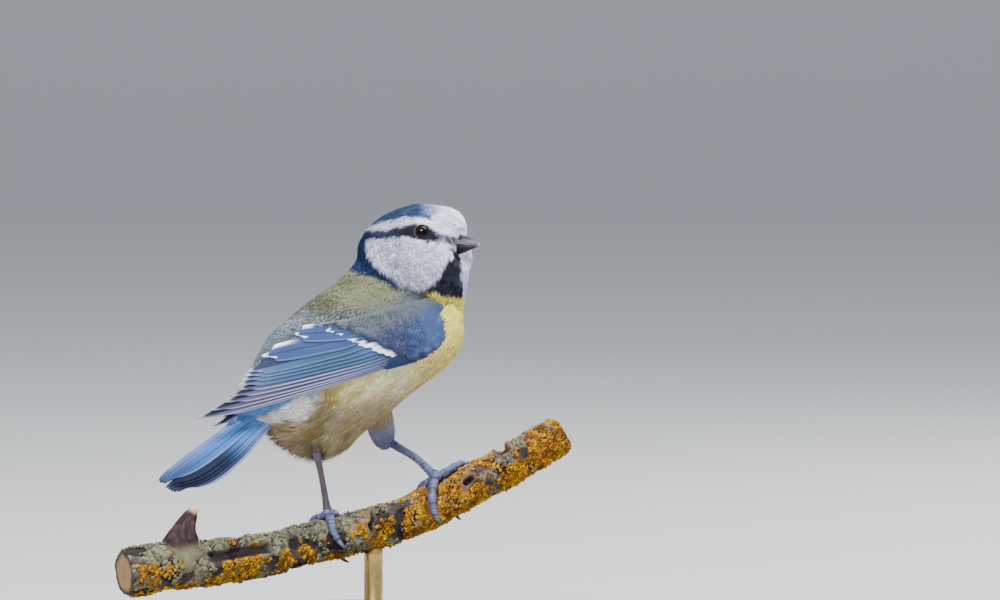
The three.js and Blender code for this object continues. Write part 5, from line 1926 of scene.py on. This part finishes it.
keep(down, skin())
for row in COATS:
    keep(down, *coat(*row))
for side in SIDE_NAME:
    keep(vanes, wing(side))
    keep(down, wing_pad(side), *wing_coat(side))
    if side > 0:
        keep(down, *breast_lap())
    ball, lid = eye(side)
    keep(eye_glass, ball)
    keep(leg_skin, lid)
keep(down, *thigh_coat())
keep(vanes, tail())
keep(down, *tail_coverts())
keep(horn, mandible(True), mandible(False))
for name, shape in LEGS.items():
    shank, nails = leg(name, shape)
    keep(leg_skin, shank)
    keep(horn, nails)
limb = branch()
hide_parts("perch_branch")
keep(bark, limb, snag(), crust())
base, rod = stand()
keep(wood(), base)
keep(brass(), rod)
for piece in pieces:
    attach(piece, "root")


# Floor, light and camera
def stage():
    """A pale floor that curves up into a backdrop far behind."""
    reach, back, rise, bend = 6000.0, 4500.0, 5000.0, 1500.0
    profile = [(-reach, 0.0), (back - bend, 0.0)]
    profile += [
        (back - bend + bend * math.sin(t), bend - bend * math.cos(t))
        for t in np.linspace(0, math.pi / 2, 24)[1:]
    ]
    profile.append((back, rise))
    points = [(x, y, z) for y, z in profile for x in (-reach, reach)]
    faces = [(2 * k, 2 * k + 1, 2 * k + 3, 2 * k + 2) for k in range(len(profile) - 1)]
    floor = new_mesh("floor", np.array(points), faces)
    made, _, _, shader = material("floor_pale", 0.9, 0.1)
    shader.inputs["Base Color"].default_value = (0.5, 0.5, 0.49, 1)
    dress(floor, made)


# Place in metres, size, power and colour of each lamp
LAMPS = [
    ("key", (-0.15, -0.75, 0.95), 0.45, 26.5, (1.0, 0.99, 0.975)),
    ("top", (0.35, 0.1, 0.95), 0.7, 12.5, (0.96, 0.98, 1.0)),
    ("rim", (0.6, 0.55, 0.35), 0.35, 4.0, (1.0, 0.98, 0.94)),
]
LAMP_TARGET = Vector((0.0, 0.0, 0.08))


def lighting():
    """Three soft lamps and a pale sky."""
    for name, place, size, power, colour in LAMPS:
        data = bpy.data.lights.new(name, "AREA")
        data.shape = "DISK"
        data.size = size
        data.energy = power
        data.color = colour
        obj = bpy.data.objects.new(name, data)
        obj.location = place
        obj.rotation_euler = (LAMP_TARGET - Vector(place)).to_track_quat("-Z", "Y").to_euler()
        bpy.context.scene.collection.objects.link(obj)
    world = bpy.data.worlds.new("soft")
    world.use_nodes = True
    sky = world.node_tree.nodes["Background"]
    sky.inputs["Color"].default_value = (0.82, 0.88, 1.0, 1)
    sky.inputs["Strength"].default_value = 0.85
    bpy.context.scene.world = world


def camera():
    """The photo's view, from far off and a little above."""
    data = bpy.data.cameras.new("camera")
    data.sensor_width = SENSOR
    data.lens = SENSOR * CAMERA_AWAY / (PICTURE_WIDTH / PIXELS_PER_MM)
    data.clip_start = 0.1
    data.clip_end = 10.0
    obj = bpy.data.objects.new("camera", data)
    away = Vector((0, -math.cos(CAMERA_DROP), math.sin(CAMERA_DROP))) * CAMERA_AWAY
    obj.location = (Vector(CAMERA_TARGET) + away) * MM
    obj.rotation_euler = (math.pi / 2 - CAMERA_DROP, 0, 0)
    bpy.context.scene.collection.objects.link(obj)
    bpy.context.scene.camera = obj


stage()
lighting()
camera()
